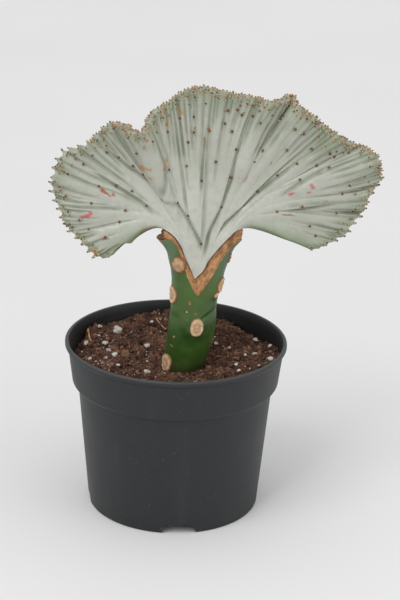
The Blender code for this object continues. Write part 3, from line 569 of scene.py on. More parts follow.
def spine_material():
    p = Paint("areoles", Specular_IOR_Level=0.4)
    fine = p.noise(1300, 3)
    flesh = p.mix(p.remap(fine, 0.3, 0.7), (0.235, 0.300, 0.190), (0.375, 0.415, 0.320))
    tan = p.mix(p.remap(fine, 0.35, 0.65), (0.330, 0.150, 0.060), (0.560, 0.320, 0.140))
    dark = p.mix(p.remap(fine, 0.35, 0.65), (0.055, 0.020, 0.012), (0.190, 0.070, 0.035))
    cap = p.mix(p.value("dark"), tan, dark)
    p.base = p.mix(p.value("tip"), flesh, cap)
    return p.finish(p.remap(fine, 0.3, 0.7, 0.45, 0.7), fine, 0.3, 0.0003)


def floor_material():
    p = Paint("pale_floor", Specular_IOR_Level=0.2)
    cloud = p.noise(1.7, 3)
    p.base = p.mix(p.remap(cloud, 0.3, 0.7), (0.770, 0.765, 0.762), (0.800, 0.797, 0.795))
    return p.finish(p.remap(cloud, 0.3, 0.7, 0.62, 0.72), p.noise(260, 2), 0.04, 0.0003)


# ---------------------------------------------------------------- pot

def circle(radius, height, count):
    """Points of a level circle about the pot's axis."""
    turns = np.arange(count) * math.tau / count
    return np.stack([radius * np.cos(turns), radius * np.sin(turns), np.full(count, height)], axis=1)


def arc(centre, radius, degrees):
    """Points of an arc as (radius, height) about a centre."""
    turns = np.radians(degrees)
    return [(centre[0] + radius * math.cos(a), centre[1] + radius * math.sin(a)) for a in turns]


def pot_profiles():
    """The pot's outer profile upwards, then its inner profile downwards."""
    corner = POT_BASE_CORNER
    collar_top = POT_HEIGHT - POT_LIP_HEIGHT
    top_radius = POT_RIM_RADIUS - POT_LIP_REACH
    shoulder = (top_radius - POT_COLLAR_TAPER - POT_SHOULDER, POT_HEIGHT - POT_COLLAR_HEIGHT + POT_SHOULDER)
    body_top = shoulder[1] - POT_SHOULDER
    outside = [(0.0, 0.0015), (POT_BASE_RADIUS - 0.010, 0.0015), (POT_BASE_RADIUS - 0.0085, 0.0)]
    outside += arc((POT_BASE_RADIUS - corner, corner), corner, np.linspace(-90, 0, 7))
    for share in np.linspace(0.04, 0.985, 22):
        height = corner + share * (body_top - corner)
        radius = POT_BASE_RADIUS + share * (shoulder[0] - POT_BASE_RADIUS)
        outside.append((radius, height))
    outside += [(shoulder[0] + 0.0001, body_top - 0.0004), (shoulder[0] + 0.0006, body_top + 0.00002)]
    outside += arc(shoulder, POT_SHOULDER, np.linspace(-78, 0, 12))
    for share in np.linspace(0.1, 0.94, 8):
        outside.append((shoulder[0] + POT_SHOULDER + share * POT_COLLAR_TAPER,
                        shoulder[1] + share * (collar_top - shoulder[1])))
    lip = 0.0011
    outside += [(top_radius, collar_top), (top_radius + 0.35 * POT_LIP_REACH, collar_top + 0.0007),
                (POT_RIM_RADIUS - 0.0003, collar_top + POT_LIP_REACH - 0.0003),
                (POT_RIM_RADIUS, collar_top + POT_LIP_REACH + 0.0003)]
    outside += arc((POT_RIM_RADIUS - lip, POT_HEIGHT - lip), lip, np.linspace(0, 90, 7))
    inside = arc((POT_RIM_RADIUS - 1.2 * POT_WALL, POT_HEIGHT - 0.0006), 0.0006, np.linspace(90, 180, 4))
    inside += [(top_radius - POT_WALL, collar_top)]
    inside += arc(shoulder, POT_SHOULDER - POT_WALL, np.linspace(0, -90, 7))
    foot, fillet = POT_BASE_RADIUS - POT_WALL, 0.0008
    inside += [(foot + 0.5 * (shoulder[0] - POT_BASE_RADIUS), body_top / 2),
               (foot, POT_FLOOR + fillet), (foot - fillet, POT_FLOOR)]
    return outside, inside


def plain_object(name, points, faces):
    mesh = bpy.data.meshes.new(name)
    mesh.from_pydata([tuple(p) for p in points], [], [tuple(f) for f in faces])
    return placed(name, mesh)


def carved(thing, *cuts):
    """Mesh of an object after exact Booleans with (tool, operation) pairs; removes the objects."""
    for tool, operation in cuts:
        cut = thing.modifiers.new(tool.name, "BOOLEAN")
        cut.object, cut.operation, cut.solver = tool, operation, "EXACT"
    depsgraph = bpy.context.evaluated_depsgraph_get()
    mesh = bpy.data.meshes.new_from_object(thing.evaluated_get(depsgraph), depsgraph=depsgraph)
    for used in (thing, *(tool for tool, _ in cuts)):
        bpy.data.objects.remove(used)
    return mesh


def prism(plan, low, high, heading):
    """An upright block over a plan that may differ at its two heights, turned to a heading."""
    turn = Matrix.Rotation(heading, 4, "Z")
    points = [turn @ Vector((x, y, z)) for z, ring in ((low, plan[0]), (high, plan[1])) for x, y in ring]
    n = len(plan[0])
    sides = [(k, (k + 1) % n, n + (k + 1) % n, n + k) for k in range(n)]
    return points, [tuple(reversed(range(n))), *sides, tuple(range(n, 2 * n))]


def around_pot(name, plans, low, high):
    """The same block at the bearing of each drainage channel."""
    points, faces = [], []
    for i in range(CHANNEL_COUNT):
        heading = math.radians(CHANNEL_BEARING) + math.tau * i / CHANNEL_COUNT
        block, sides = prism(plans, low, high, heading)
        faces += [tuple(k + len(points) for k in side) for side in sides]
        points += block
    return plain_object(name, points, faces)


def channel_blocks(name, grow, bottom, outer_radius):
    """The drainage channels as blocks, grown by a thickness."""
    slope = (CHANNEL_WIDTH - CHANNEL_ROOF_WIDTH) / 2 / CHANNEL_HEIGHT
    top = CHANNEL_HEIGHT + grow
    inner = POT_BASE_RADIUS - CHANNEL_LENGTH - grow
    plans = []
    for height in (bottom, top):
        half = CHANNEL_WIDTH / 2 - slope * height + grow
        swing = math.degrees(math.asin(half / outer_radius))
        bow = arc((0, 0), outer_radius, swing * np.linspace(-1, 1, 9))
        plans.append([(inner, -half), *bow, (inner, half)])
    return around_pot(name, plans, bottom, top)


def drain_rods():
    """Upright rods for the holes in the channels' roofs."""
    reach = POT_BASE_RADIUS - CHANNEL_LENGTH + DRAIN_HOLE_INSET
    ring = arc((reach, 0), DRAIN_HOLE_RADIUS, np.linspace(0, 360, 32, endpoint=False))
    return around_pot("drain_rods", (ring, ring), -2 * POT_FLOOR, 2 * CHANNEL_HEIGHT)


def make_pot(surface):
    """Nursery pot with its lip, collar, stacking shoulder, drainage channels and holes."""
    count = POT_COLUMNS
    outside, inside = pot_profiles()
    profile = outside[1:] + inside
    rings = np.array([circle(r, z, count) for r, z in profile])
    turn = np.arctan2(rings[:, :, 1], rings[:, :, 0])
    wobble = 1 + 0.0012 * np.sin(2 * turn + 0.7) * rings[:, :, 2] / POT_HEIGHT
    rings[:, :, :2] *= wobble[:, :, None]
    low, high = np.array([[0, 0, outside[0][1]]]), np.array([[0, 0, POT_FLOOR]])
    points = np.concatenate([low, rings.reshape(-1, 3), high])
    quads = (grid_faces(len(profile), count, closed=True) + 1).tolist()
    last = 1 + (len(profile) - 1) * count
    caps = [(0, 1 + (j + 1) % count, 1 + j) for j in range(count)]
    caps += [(len(points) - 1, last + j, last + (j + 1) % count) for j in range(count)]
    pot = plain_object("pot_work", points, quads + caps)
    housings = channel_blocks("housings", POT_WALL, POT_FLOOR / 2, POT_BASE_RADIUS - 0.4 * POT_WALL)
    cuts = channel_blocks("channels", 0.0, -POT_FLOOR, POT_RIM_RADIUS)
    mesh = carved(pot, (housings, "UNION"), (cuts, "DIFFERENCE"), (drain_rods(), "DIFFERENCE"))
    co = np.zeros(len(mesh.vertices) * 3)
    mesh.vertices.foreach_get("co", co)
    co = co.reshape(-1, 3)
    radius = np.hypot(co[:, 0], co[:, 1])
    outer = np.array(outside)[2:]
    inner_wall = np.interp(co[:, 2], outer[:, 1], outer[:, 0]) - 0.0006
    above = CHANNEL_HEIGHT + POT_WALL + 2 * POT_BASE_CORNER / 3
    # the inside value marks the inner wall above the channels for painted shade
    inside = ((radius < inner_wall) & (co[:, 2] > above)).astype(float)
    # edge marks the top of the lip for a painted highlight
    set_values(mesh, {"inside": inside, "edge": hump(co[:, 2], POT_HEIGHT, 0.0009)})
    finish_piece("pot_shell", mesh, surface, ["pot"], 32)


# ---------------------------------------------------------------- soil

def edge_height(turn):
    """Height of the soil against the wall, above its mean level."""
    bearing = np.degrees(turn) % 360
    around = np.array(SOIL_EDGE)
    bearings, heights = np.concatenate([around[-1:] - [360, 0], around, around[:1] + [360, 0]]).T
    left = np.clip(np.searchsorted(bearings, bearing, side="right") - 1, 0, len(bearings) - 2)
    step = blend_step(bearings[left], bearings[left + 1], bearing)
    return heights[left] + (heights[left + 1] - heights[left]) * step


def soil_height(x, y):
    """Height of the soil's even surface, as in the CAD model."""
    share = np.hypot(x, y) / POT_RIM_RADIUS
    turn = np.arctan2(y, x)
    places = np.stack([np.ravel(x), np.ravel(y)], axis=1)
    lump = [blender_noise(Vector((a, b, 0.0)) * 160) for a, b in places]
    fine = [blender_noise(Vector((a, b, 0.3)) * 330) for a, b in places]
    rough = SOIL_GRAIN * (1.6 * np.array(lump) + np.array(fine)).reshape(np.shape(x))
    return SOIL_LEVEL - SOIL_CENTRE_DIP * (1 - share) + edge_height(turn) * share**2 + rough


def inner_wall_radius(height):
    """Radius of the pot's inner wall at a height."""
    _, inside = pot_profiles()
    radii, heights = np.array(inside[::-1]).T
    return np.interp(height, heights, radii)


def crumble(points):
    """Granular unevenness of the soil's surface."""
    coarse = lumps(points, 0.0042, 1)
    middle = lumps(points, 0.0021, 2)
    fine = lumps(points, 0.0011, 3)
    return 0.0013 * coarse + 0.0013 * (np.abs(middle) * 2 - 0.8) + 0.0005 * fine


def soil_bed():
    """The soil's surface and sides: returns its grid of points and the depth of its hollows, which darkens
    them as painted shade.
    """
    turns = np.arange(SOIL_COLUMNS) * math.tau / SOIL_COLUMNS
    shares = np.linspace(1, 0, SOIL_RINGS + 1)[:-1] ** 0.85
    wall = inner_wall_radius(SOIL_LEVEL + edge_height(turns)) - CLEARANCE
    x = shares[:, None] * wall * np.cos(turns)
    y = shares[:, None] * wall * np.sin(turns)
    z = soil_height(x, y)
    grid = np.stack([x, y, z], axis=2)
    rough = crumble(grid)
    ragged = np.clip((shares[:, None] - 0.90) / 0.10, 0, 1) * 0.0012 * lumps(grid * [1, 1, 0], 0.006, 5)
    grid[:, :, 2] += rough + ragged
    # the second value is painted shade: darker where the crumbled surface dips
    return grid, np.clip(-rough / 0.0016, 0, 1)


def soil_foot():
    """Points and triangles of the lowest soil, grooved over the drainage channels."""
    count = FOOT_COLUMNS
    rings = [circle(inner_wall_radius(h) - CLEARANCE, h, count) for h in (POT_FLOOR + CLEARANCE, SOIL_BASE)]
    ends = [tuple(reversed(range(count))), tuple(range(count, 2 * count))]
    foot = plain_object("soil_foot", np.concatenate(rings), grid_faces(2, count, closed=True).tolist() + ends)
    grooves = channel_blocks("grooves", POT_WALL + CLEARANCE, 0.0, POT_RIM_RADIUS)
    bm = bmesh.new()
    bm.from_mesh(carved(foot, (grooves, "DIFFERENCE")))
    bmesh.ops.triangulate(bm, faces=bm.faces)
    return taken_apart(bm)


def make_soil(surface):
    grid, hollow = soil_bed()
    rings, columns = grid.shape[:2]
    skin = Skin()
    centre = np.array([[0, 0, grid[-1, :, 2].mean()]])
    levels = np.array([SOIL_BASE, 0.035, 0.07, 0.088, 0.0925, 0.099])
    radii = inner_wall_radius(levels) - CLEARANCE
    sides = np.array([circle(r, h, columns) for r, h in zip(radii, levels)])
    sides[3:, :, 2] = np.minimum(sides[3:, :, 2], grid[0, :, 2] - 0.0008)
    whole = np.concatenate([sides, grid])
    points = np.concatenate([whole.reshape(-1, 3), centre, [[0, 0, levels[0]]]])
    total = len(whole) * columns
    last = (len(whole) - 1) * columns
    j = np.arange(columns)
    k = (j + 1) % columns
    cap = np.stack([last + j, last + k, np.full(columns, total)], axis=1)
    bottom = np.stack([k, j, np.full(columns, total + 1)], axis=1)
    # painted shade in the hollows of the bed, none on its sides
    painted_hollow_shade = np.concatenate([np.zeros(len(sides) * columns), hollow.ravel(), [0, 0]])
    tone = np.clip(lumps(points, 0.009, 8) * 1.2 - 0.35, 0, 0.5)
    skin.add(points, [grid_faces(len(whole), columns, closed=True), cap, bottom], hollow=painted_hollow_shade, tone=tone)
    foot = soil_foot()
    skin.add(foot[0], [foot[1]], hollow=0.0, tone=0.0)
    skin.piece("soil_bed", surface, "soil", "soil")
    return grid


def ball(subdivisions):
    """Points and triangles of a ball."""
    bm = bmesh.new()
    bmesh.ops.create_icosphere(bm, subdivisions=subdivisions, radius=1.0)
    return taken_apart(bm)


def lumpy_ball(base, size, stretch, seed, depth=0.45):
    """A ragged grain made from a ball."""
    points = base * (1 + depth * lumps(base + seed * 3.7, 0.75, seed)[:, None])
    turn = Matrix.Rotation(seed * 1.7, 3, "Z") @ Matrix.Rotation(seed * 0.9, 3, "X")
    return (points * stretch * size) @ np.array(turn).T


def clear_of_stem(x, y, margin):
    """Whether a place on the soil is outside the stock's foot."""
    dx = (x - STOCK_FOOT[0]) / (1.02 * STOCK_RADIUS + margin)
    dy = (y - STOCK_FOOT[1]) / (1.00 * STOCK_RADIUS + margin)
    return dx * dx + dy * dy > 1


def scattered(limit=1.0):
    """A random turn and share of the radius, spread evenly over the soil's disc."""
    return random.uniform(0, math.tau), math.sqrt(random.uniform(0, limit))


def on_soil(turn, share, inset):
    """The place at a turn and share of the soil's radius less an inset."""
    reach = share * (inner_wall_radius(SOIL_LEVEL) - inset)
    return reach * math.cos(turn), reach * math.sin(turn)


def make_crumbs(surface, ground):
    """Loose crumbs and fibres of peat over the bed."""
    skin = Skin()
    small, medium = ball(1), ball(2)
    made, seed = 0, 100
    while made < CRUMB_COUNT:
        seed += 1
        turn, share = scattered()
        size = 0.0005 + 0.0015 * random.uniform(0, 1) ** 2.4
        x, y = on_soil(turn, share, 2 * size)
        if not clear_of_stem(x, y, 0.3 * size):
            continue
        shape = medium if size > 0.0012 else small
        stretch = (1.0, random.uniform(0.5, 1.0), random.choice([0.25, 0.6, 0.9]))
        points = lumpy_ball(shape[0], size, stretch, seed)
        z = ground(x, y) + 0.25 * size
        tone = random.uniform(0, 1) ** 2.4
        dark = random.uniform(0, 0.5) ** 1.5
        skin.add(points + [x, y, z], [shape[1]], tone=tone, hollow=dark)
        made += 1
    for _ in range(FIBRE_COUNT):
        x, y = on_soil(*scattered(0.95), 0.004)
        heading, length = random.uniform(0, math.tau), random.uniform(0.002, 0.006)
        if not clear_of_stem(x, y, 0.5 * length):
            continue
        fibre(skin, (x, y, ground(x, y) + 0.0005), heading, length, 0.00016, random.uniform(0.1, 0.8))
    skin.piece("peat_crumbs", surface, "soil")


def fibre(skin, middle, heading, length, radius, tone):
    """A thin bent fibre."""
    steps = np.linspace(-0.5, 0.5, 6)
    along = np.array([math.cos(heading), math.sin(heading), 0])
    across = np.array([-along[1], along[0], 0])
    bend = random.uniform(-0.35, 0.35)
    line = np.array(middle) + length * (steps[:, None] * along + bend * (steps**2)[:, None] * across)
    line[:, 2] += 0.12 * length * random.uniform(-1, 1) * steps
    turns = np.arange(5) * math.tau / 5
    ring = np.cos(turns)[:, None] * across + np.sin(turns)[:, None] * np.array([0, 0, 1.0])
    points = line[:, None] + radius * ring[None]
    ends = [np.array([[4, 3, 2, 1, 0]]), np.array([[25, 26, 27, 28, 29]])]
    skin.add(points, [grid_faces(6, 5, closed=True), *ends], tone=tone, hollow=0.0)


def refined(node, cuts, roughness, size, seed):
    """A CAD grain with finer faces and a ragged skin."""
    bm = bmesh.new()
    bm.from_mesh(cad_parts[node].data)
    bmesh.ops.remove_doubles(bm, verts=bm.verts, dist=1e-6)
    for _ in range(cuts):
        bmesh.ops.subdivide_edges(bm, edges=bm.edges, cuts=1, use_grid_fill=True, smooth=0.6)
    bmesh.ops.triangulate(bm, faces=bm.faces)
    bm.verts.index_update()
    bm.normal_update()
    normals = np.array([v.normal for v in bm.verts])
    points, faces = taken_apart(bm)
    bumps = lumps(points, size, seed) + 0.5 * lumps(points, size / 2.2, seed + 1)
    return points + normals * roughness * bumps[:, None], faces


def make_perlite(surface, ground):
    skin = Skin()
    nodes = sorted(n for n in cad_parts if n.startswith("perlite_grain"))
    for number, node in enumerate(nodes):
        low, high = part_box(node)
        size = (high - low).length
        points, faces = refined(node, 2, 0.075 * size, 0.30 * size, 40 + number)
        points[:, 2] -= 0.0003
        skin.add(points, [faces], dirt=random.uniform(0.2, 1.0))
    small = ball(1)
    for seed in range(SPECK_COUNT):
        x, y = on_soil(*scattered(0.97), 0.002)
        size = random.uniform(0.00030, 0.00080)
        if clear_of_stem(x, y, size):
            grain = lumpy_ball(small[0], size, (1, 0.8, 0.8), seed + 900)
            skin.add(grain + [x, y, ground(x, y) + 0.0004], [small[1]], dirt=random.uniform(0.2, 1.0))
    skin.piece("perlite_grains", surface, "perlite", *nodes)


def make_bark(surface):
    skin = Skin()
    nodes = sorted(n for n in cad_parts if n.startswith("bark_chip"))
    for number, node in enumerate(nodes):
        low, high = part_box(node)
        size = (high - low).length
        points, faces = refined(node, 2, 0.035 * size, 0.22 * size, 70 + number)
        points[:, 2] -= 0.0003
        skin.add(points, [faces])
    skin.piece("bark_pieces", surface, "bark", *nodes, sharp=38)


def make_straws(surface):
    skin = Skin()
    nodes = sorted(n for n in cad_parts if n.startswith("straw"))
    for number, node in enumerate(nodes):
        points, faces = refined(node, 1, 0.00008, 0.0012, 90 + number)
        skin.add(points, [faces])
    skin.piece("straw_pieces", surface, "straw", *nodes)


# ---------------------------------------------------------------- stock

def stock_point(turn, level):
    """A point of the stock's skin at a turn about it and a level in stock heights."""
    stations = np.array(STOCK_STATIONS)
    shape = smooth_curve(stations[:, 0], stations[:, 1:], np.ravel(level)) * STOCK_RADIUS
    offset, half_width, half_depth = shape.T.reshape((3,) + np.shape(level))
    sharp = np.cos(5 * turn + 0.6)
    swell = 1 + STOCK_RIB * sharp + 0.012 * np.clip(sharp, 0, 1) ** 6
    x = STOCK_FOOT[0] + offset + half_width * swell * np.cos(turn)
    y = STOCK_FOOT[1] + half_depth * swell * np.sin(turn)
    return np.stack([x, y, SOIL_LEVEL + level * STOCK_HEIGHT], axis=-1)


def in_stock_units(table):
    """World x and height of places given in stock radii and heights."""
    return np.array([(STOCK_FOOT[0] + x * STOCK_RADIUS, SOIL_LEVEL + z * STOCK_HEIGHT) for x, z in table])


def band_levels(turns):
    """Level at which the callus begins, for each turn about the stock."""
    foot = in_stock_units(BAND_FOOT)
    levels = np.linspace(0.6, 1.6, 500)
    found = np.empty(len(turns))
    for k, turn in enumerate(turns):
        line = stock_point(np.full(len(levels), turn), levels)
        above = line[:, 2] >= np.interp(line[:, 0], foot[:, 0], foot[:, 1])
        found[k] = levels[np.argmax(above)]
    return found


def stock_relief(points):
    """How far the stock's skin stands out: dimples, leaf cushions and one crease."""
    relief = 0.00045 * lumps(points, 0.016, 21) + 0.00018 * lumps(points, 0.005, 22)
    for bearing, level, _, height, _ in SCARS:
        gap = np.linalg.norm(points - stock_point(math.radians(bearing), np.array(level)), axis=-1)
        relief += 0.0010 * np.exp(-(gap / (0.75 * height)) ** 2)
    gap = points - stock_point(math.radians(-52), np.array(0.60))
    across, along = gap[..., 2] - 0.5 * gap[..., 0], gap[..., 0] + 0.5 * gap[..., 2]
    crease = np.exp(-(across / 0.0016) ** 2 - (along / 0.006) ** 2 - (gap[..., 1] / 0.02) ** 2)
    return relief - 0.0008 * crease


def make_stem(surface):
    """Green stock up to the callus, with blunt angles, dimples and a paler young top."""
    turns = np.arange(STOCK_COLUMNS) * math.tau / STOCK_COLUMNS
    tops = band_levels(turns)
    tops = blur_along(np.concatenate([tops[-9:], tops, tops[:9]])[:, None], 1)[9:-9, 0]
    share = np.linspace(0, 1, STOCK_ROWS)[:, None]
    levels = STOCK_STATIONS[0][0] + share * (tops - STOCK_STATIONS[0][0])
    grid = stock_point(np.broadcast_to(turns, levels.shape), levels)
    middle = np.stack([np.interp(levels, *np.array(STOCK_STATIONS).T[:2]) * STOCK_RADIUS + STOCK_FOOT[0],
                       np.full(levels.shape, STOCK_FOOT[1]), grid[:, :, 2]], axis=-1)
    outward = grid - middle
    outward /= np.linalg.norm(outward, axis=2)[:, :, None]
    grid = grid + outward * stock_relief(grid)[:, :, None]
    # waxy coat partly painted as sheen: lighter on the upper sides facing left and right
    left = blend_step(-0.75, -0.98, outward[:, :, 0])
    right = blend_step(0.35, 0.85, outward[:, :, 0])
    bloom = left * blend_step(0.55, 0.9, levels) + 0.7 * right * blend_step(0.8, 1.2, levels)
    bloom = np.clip(bloom * (0.75 + 0.5 * lumps(grid, 0.008, 23)), 0, 1)
    young = blend_step(0.35, 0.8, levels) * (0.65 + 0.35 * lumps(grid, 0.012, 24))
    foot = 0.8 * blend_step(0.10, -0.02, levels)
    ear = blend_step(1.30, 1.40, levels) * blend_step(-0.0085, -0.0125, grid[:, :, 0])
    ear = np.clip(ear * (0.75 + 1.6 * lumps(grid * [1, 1, 0.25], 0.0022, 25)), 0, 1)
    scab = np.linalg.norm(grid - stock_point(math.radians(-83), np.array(0.645)), axis=2)
    ear = np.maximum(ear, 0.9 * hump(scab, 0, 0.0009))
    skin = Skin()
    bottom = np.arange(STOCK_COLUMNS)[::-1][None]
    skin.add(grid, [grid_faces(STOCK_ROWS, STOCK_COLUMNS, closed=True), bottom], bloom=bloom,
             young=np.clip(young, 0, 1), foot=foot, brown=ear)
    skin.piece("stock_stem", surface, "rootstock", "rootstock")
    return turns, tops


def make_callus(surface, turns, tops):
    """Corky callus that covers the cut from the stock's skin to the crest."""
    outer = stock_point(turns, tops)
    foot, cleft = in_stock_units(BAND_FOOT), in_stock_units(CLEFT)
    foot_steps = np.concatenate([[0], np.cumsum(np.linalg.norm(np.diff(foot, axis=0), axis=1))])
    cleft_steps = np.concatenate([[0], np.cumsum(np.linalg.norm(np.diff(cleft, axis=0), axis=1))])
    foot_tip, cleft_tip = foot_steps[8], cleft_steps[6]
    at = np.interp(outer[:, 0], foot[:, 0], foot_steps)
    right = (at - foot_tip) / (foot_steps[-1] - foot_tip)
    matched = np.where(at < foot_tip, at / foot_tip * cleft_tip,
                       cleft_tip + right * (cleft_steps[-1] - cleft_tip))
    inner_x = np.interp(matched, cleft_steps, cleft[:, 0])
    inner_z = np.interp(matched, cleft_steps, cleft[:, 1])
    seat = CREST_BASE_HALF * STOCK_RADIUS
    depth = outer[:, 1] - STOCK_FOOT[1]
    inner_y = STOCK_FOOT[1] + np.clip(depth, CREST_SETBACK - seat, CREST_SETBACK + seat)
    inner = np.stack([inner_x, inner_y, inner_z], axis=1)
    heart = np.stack([inner_x, np.full(len(turns), STOCK_FOOT[1]), inner_z - 0.0008], axis=1)
    outward = outer - [[STOCK_FOOT[0] + 0.6 * STOCK_RADIUS, STOCK_FOOT[1], 0]] * len(outer)
    outward[:, 2] = 0.0
    outward /= np.linalg.norm(outward, axis=1)[:, None]
    rows = np.linspace(0, 1, CALLUS_ROWS)
    # left of the ear's notch the callus stands on the ear and leaves a gap under the crest
    open_end = blend_step(EAR_NOTCH + 0.0020, EAR_NOTCH + 0.0006, outer[:, 0])[:, None]
    inner[:, 0] = np.where(open_end[:, 0] > 0, np.maximum(inner[:, 0], EAR_NOTCH), inner[:, 0])
    elbow = np.stack([inner[:, 0], inner[:, 1], outer[:, 2] + 0.0006], axis=1)
    grid, brown = [], []
    for t in rows:
        straight = outer * (1 - t) + inner * t
        bent = outer * max(0, 1 - 2 * t) + elbow * (1 - abs(1 - 2 * t)) + inner * max(0, 2 * t - 1)
        ring = straight * (1 - open_end) + bent * open_end
        bulge = CALLUS_BULGE * math.sin(math.pi * t) ** 0.6 + 0.0004 * hump(t, 0.06, 0.07)
        ridge = 0.0007 * lumps(ring, 0.0052, 31) + 0.0006 * lumps(ring, 0.0022, 32)
        ridge += 0.0003 * lumps(ring, 0.001, 33)
        ring = ring + outward * (bulge + ridge * min(1, 6 * t, 8 * (1 - t)))[:, None]
        if t == 0:
            ring = ring - outward * 0.0008 - [0, 0, 0.0008]
        grid.append(ring)
        rim = hump(t, 0, 0.07) * 0.7 + hump(1, t, 0.06) * 0.9
        spots = np.clip(lumps(ring, 0.006, 34) - 0.35, 0, 1) * 1.5
        streaks = np.stack([at * 0.22, np.full(len(turns), 0.011 * t), np.zeros(len(turns))], axis=1)
        spots = spots + 0.55 * np.clip(lumps(streaks, 0.0011, 36), 0, 1) + 0.35 * blend_step(0.62, 1.0, t)
        spots = spots + 0.5 * np.clip(lumps(ring, 0.0016, 37) - 0.2, 0, 1)
        brown.append(np.clip(rim * (0.7 + 0.5 * lumps(ring, 0.004, 35)) + spots, 0, 1))
    grid += [inner * 0.5 + heart * 0.5, heart]
    brown += [np.ones(len(turns)), np.ones(len(turns))]
    skin = Skin()
    skin.add(np.array(grid), [grid_faces(len(grid), len(turns), closed=True)], brown=np.array(brown))
    skin.piece("graft_callus", surface, "rootstock")


def make_scars(surface):
    """Corky ovals that the shed leaves left on the stock, and small pale warts."""
    skin = Skin()
    rings = np.array([0, 0.18, 0.34, 0.48, 0.60, 0.70, 0.79, 0.87, 0.94, 1.0, 1.03])
    count = SCAR_COLUMNS
    marks = [(b, z, w, h, brown, 0.0 if brown > 0.7 else 1.0) for b, z, w, h, brown in SCARS]
    marks += [(b, z, d, 1.15 * d, 1.6, 0.0) for b, z, d in DOTS]
    for number, (bearing, level, width, height, brown, ringed) in enumerate(marks):
        around = np.arange(count) * math.tau / count
        ragged = lumps(np.stack([np.cos(around), np.sin(around), np.full(count, number)], 1), 0.8, number)
        ragged = 1 + (0.07 + 0.07 * min(brown, 1.0)) * ragged
        a = rings[:, None] * np.cos(around) * ragged * width / 2
        b = rings[:, None] * np.sin(around) * ragged * height / 2
        turn = math.radians(bearing) + a / (1.15 * STOCK_RADIUS)
        base = stock_point(turn, level + b / STOCK_HEIGHT)
        normal = np.stack([np.cos(turn), np.sin(turn), np.zeros_like(turn)], axis=2)
        r = rings[:, None]
        dome = np.clip(1 - r**2, 0, 1) ** 0.5
        lift = SCAR_LIFT + SCAR_DOME * dome + ringed * 0.0004 * hump(r, 0.84, 0.10)
        lift = lift - ringed * 0.0002 * hump(r, 0.50, 0.10) + 0.00035 * lumps(base, 0.0016, 50 + number)
        lift = np.where(r > 1, -0.0012, lift) * min(1.0, height / 0.004) + stock_relief(base)
        points = base + normal * lift[:, :, None]
        rim = 1.1 * hump(r, 1.0, 0.12) + ringed * 0.65 * hump(r, 0.42, 0.12)
        rim = rim + ringed * 0.3 * hump(r, 0, 0.14)
        stain = 0.5 * min(brown, 0.5) * lumps(base, 0.002, 60 + number)
        tone = np.clip(rim * 0.8 + brown * 0.48 + stain, 0, 1)
        skin.add(points, [grid_faces(len(rings), count, closed=True, flip=True)], brown=tone)
    skin.piece("leaf_scars", surface, "rootstock")


# ---------------------------------------------------------------- crest

def cleft_points(params):
    return smooth_path(in_stock_units(CLEFT), params)


def crest_sheet(columns, rows):
    """Middle surface of the crest: columns along the fan, rows outwards."""
    base = cleft_points(columns)
    x, z = in_stock_units([CREST_CENTRE])[0]
    angles, reach, lean = np.array(CREST_EDGE).T * [[math.pi / 180], [CREST_REACH / 100], [CREST_REACH / 100]]
    outline = np.stack([x + reach * np.sin(angles), z + reach * np.cos(angles), lean], axis=1)
    edge = smooth_path(outline, columns)
    share, leaves, arrives = np.array(CREST_FLOW).T
    leaves = np.radians(smooth_curve(share, leaves, columns))
    arrives = np.radians(smooth_curve(share, arrives, columns))
    edge[:, :2] -= CREST_INSET * np.stack([np.sin(arrives), np.cos(arrives)], axis=1)
    handle = 0.33 * np.linalg.norm(edge[:, :2] - base, axis=1)[:, None]
    first = base + handle * np.stack([np.sin(leaves), np.cos(leaves)], axis=1)
    second = edge[:, :2] - handle * np.stack([np.sin(arrives), np.cos(arrives)], axis=1)
    t = rows[None, :, None]
    flat = ((1 - t) ** 3 * base[:, None] + 3 * (1 - t) ** 2 * t * first[:, None]
            + 3 * (1 - t) * t**2 * second[:, None] + t**3 * edge[:, None, :2])
    depth = STOCK_FOOT[1] + CREST_SETBACK - edge[:, None, 2] * t[:, :, 0] ** 2.2
    return np.stack([flat[:, :, 0], depth, flat[:, :, 1]], axis=2)


def round_off(distance, radius):
    """Share of the full thickness near a rounded side."""
    inward = np.clip(distance / radius, 0, 1)
    return np.sqrt(1 - (1 - inward) ** 2)


def run_lengths(sheet):
    """Distances over the grid: from its left side, to its right side and to its outer edge."""
    along = np.linalg.norm(np.diff(sheet, axis=0), axis=2)
    from_left = np.vstack([np.zeros(sheet.shape[1]), np.cumsum(along, axis=0)])
    outward = np.linalg.norm(np.diff(sheet, axis=1), axis=2)
    run = np.hstack([np.zeros((sheet.shape[0], 1)), np.cumsum(outward, axis=1)])
    return from_left, from_left[-1] - from_left, run[:, -1:] - run


def half_thickness(rows, from_left, from_right, from_edge):
    """Half the crest's thickness over its grid."""
    base = CREST_BASE_HALF * STOCK_RADIUS
    rows = rows[None, :]
    near = CREST_NECK_HALF + (base - CREST_NECK_HALF) * (1 - np.clip(rows / 0.42, 0, 1)) ** 1.6
    half = near + (CREST_EDGE_HALF - CREST_NECK_HALF) * np.clip((rows - 0.3) / 0.7, 0, 1)
    half = np.broadcast_to(half, from_left.shape)
    return half * round_off(np.minimum(from_left, from_right), half) * round_off(from_edge, half)


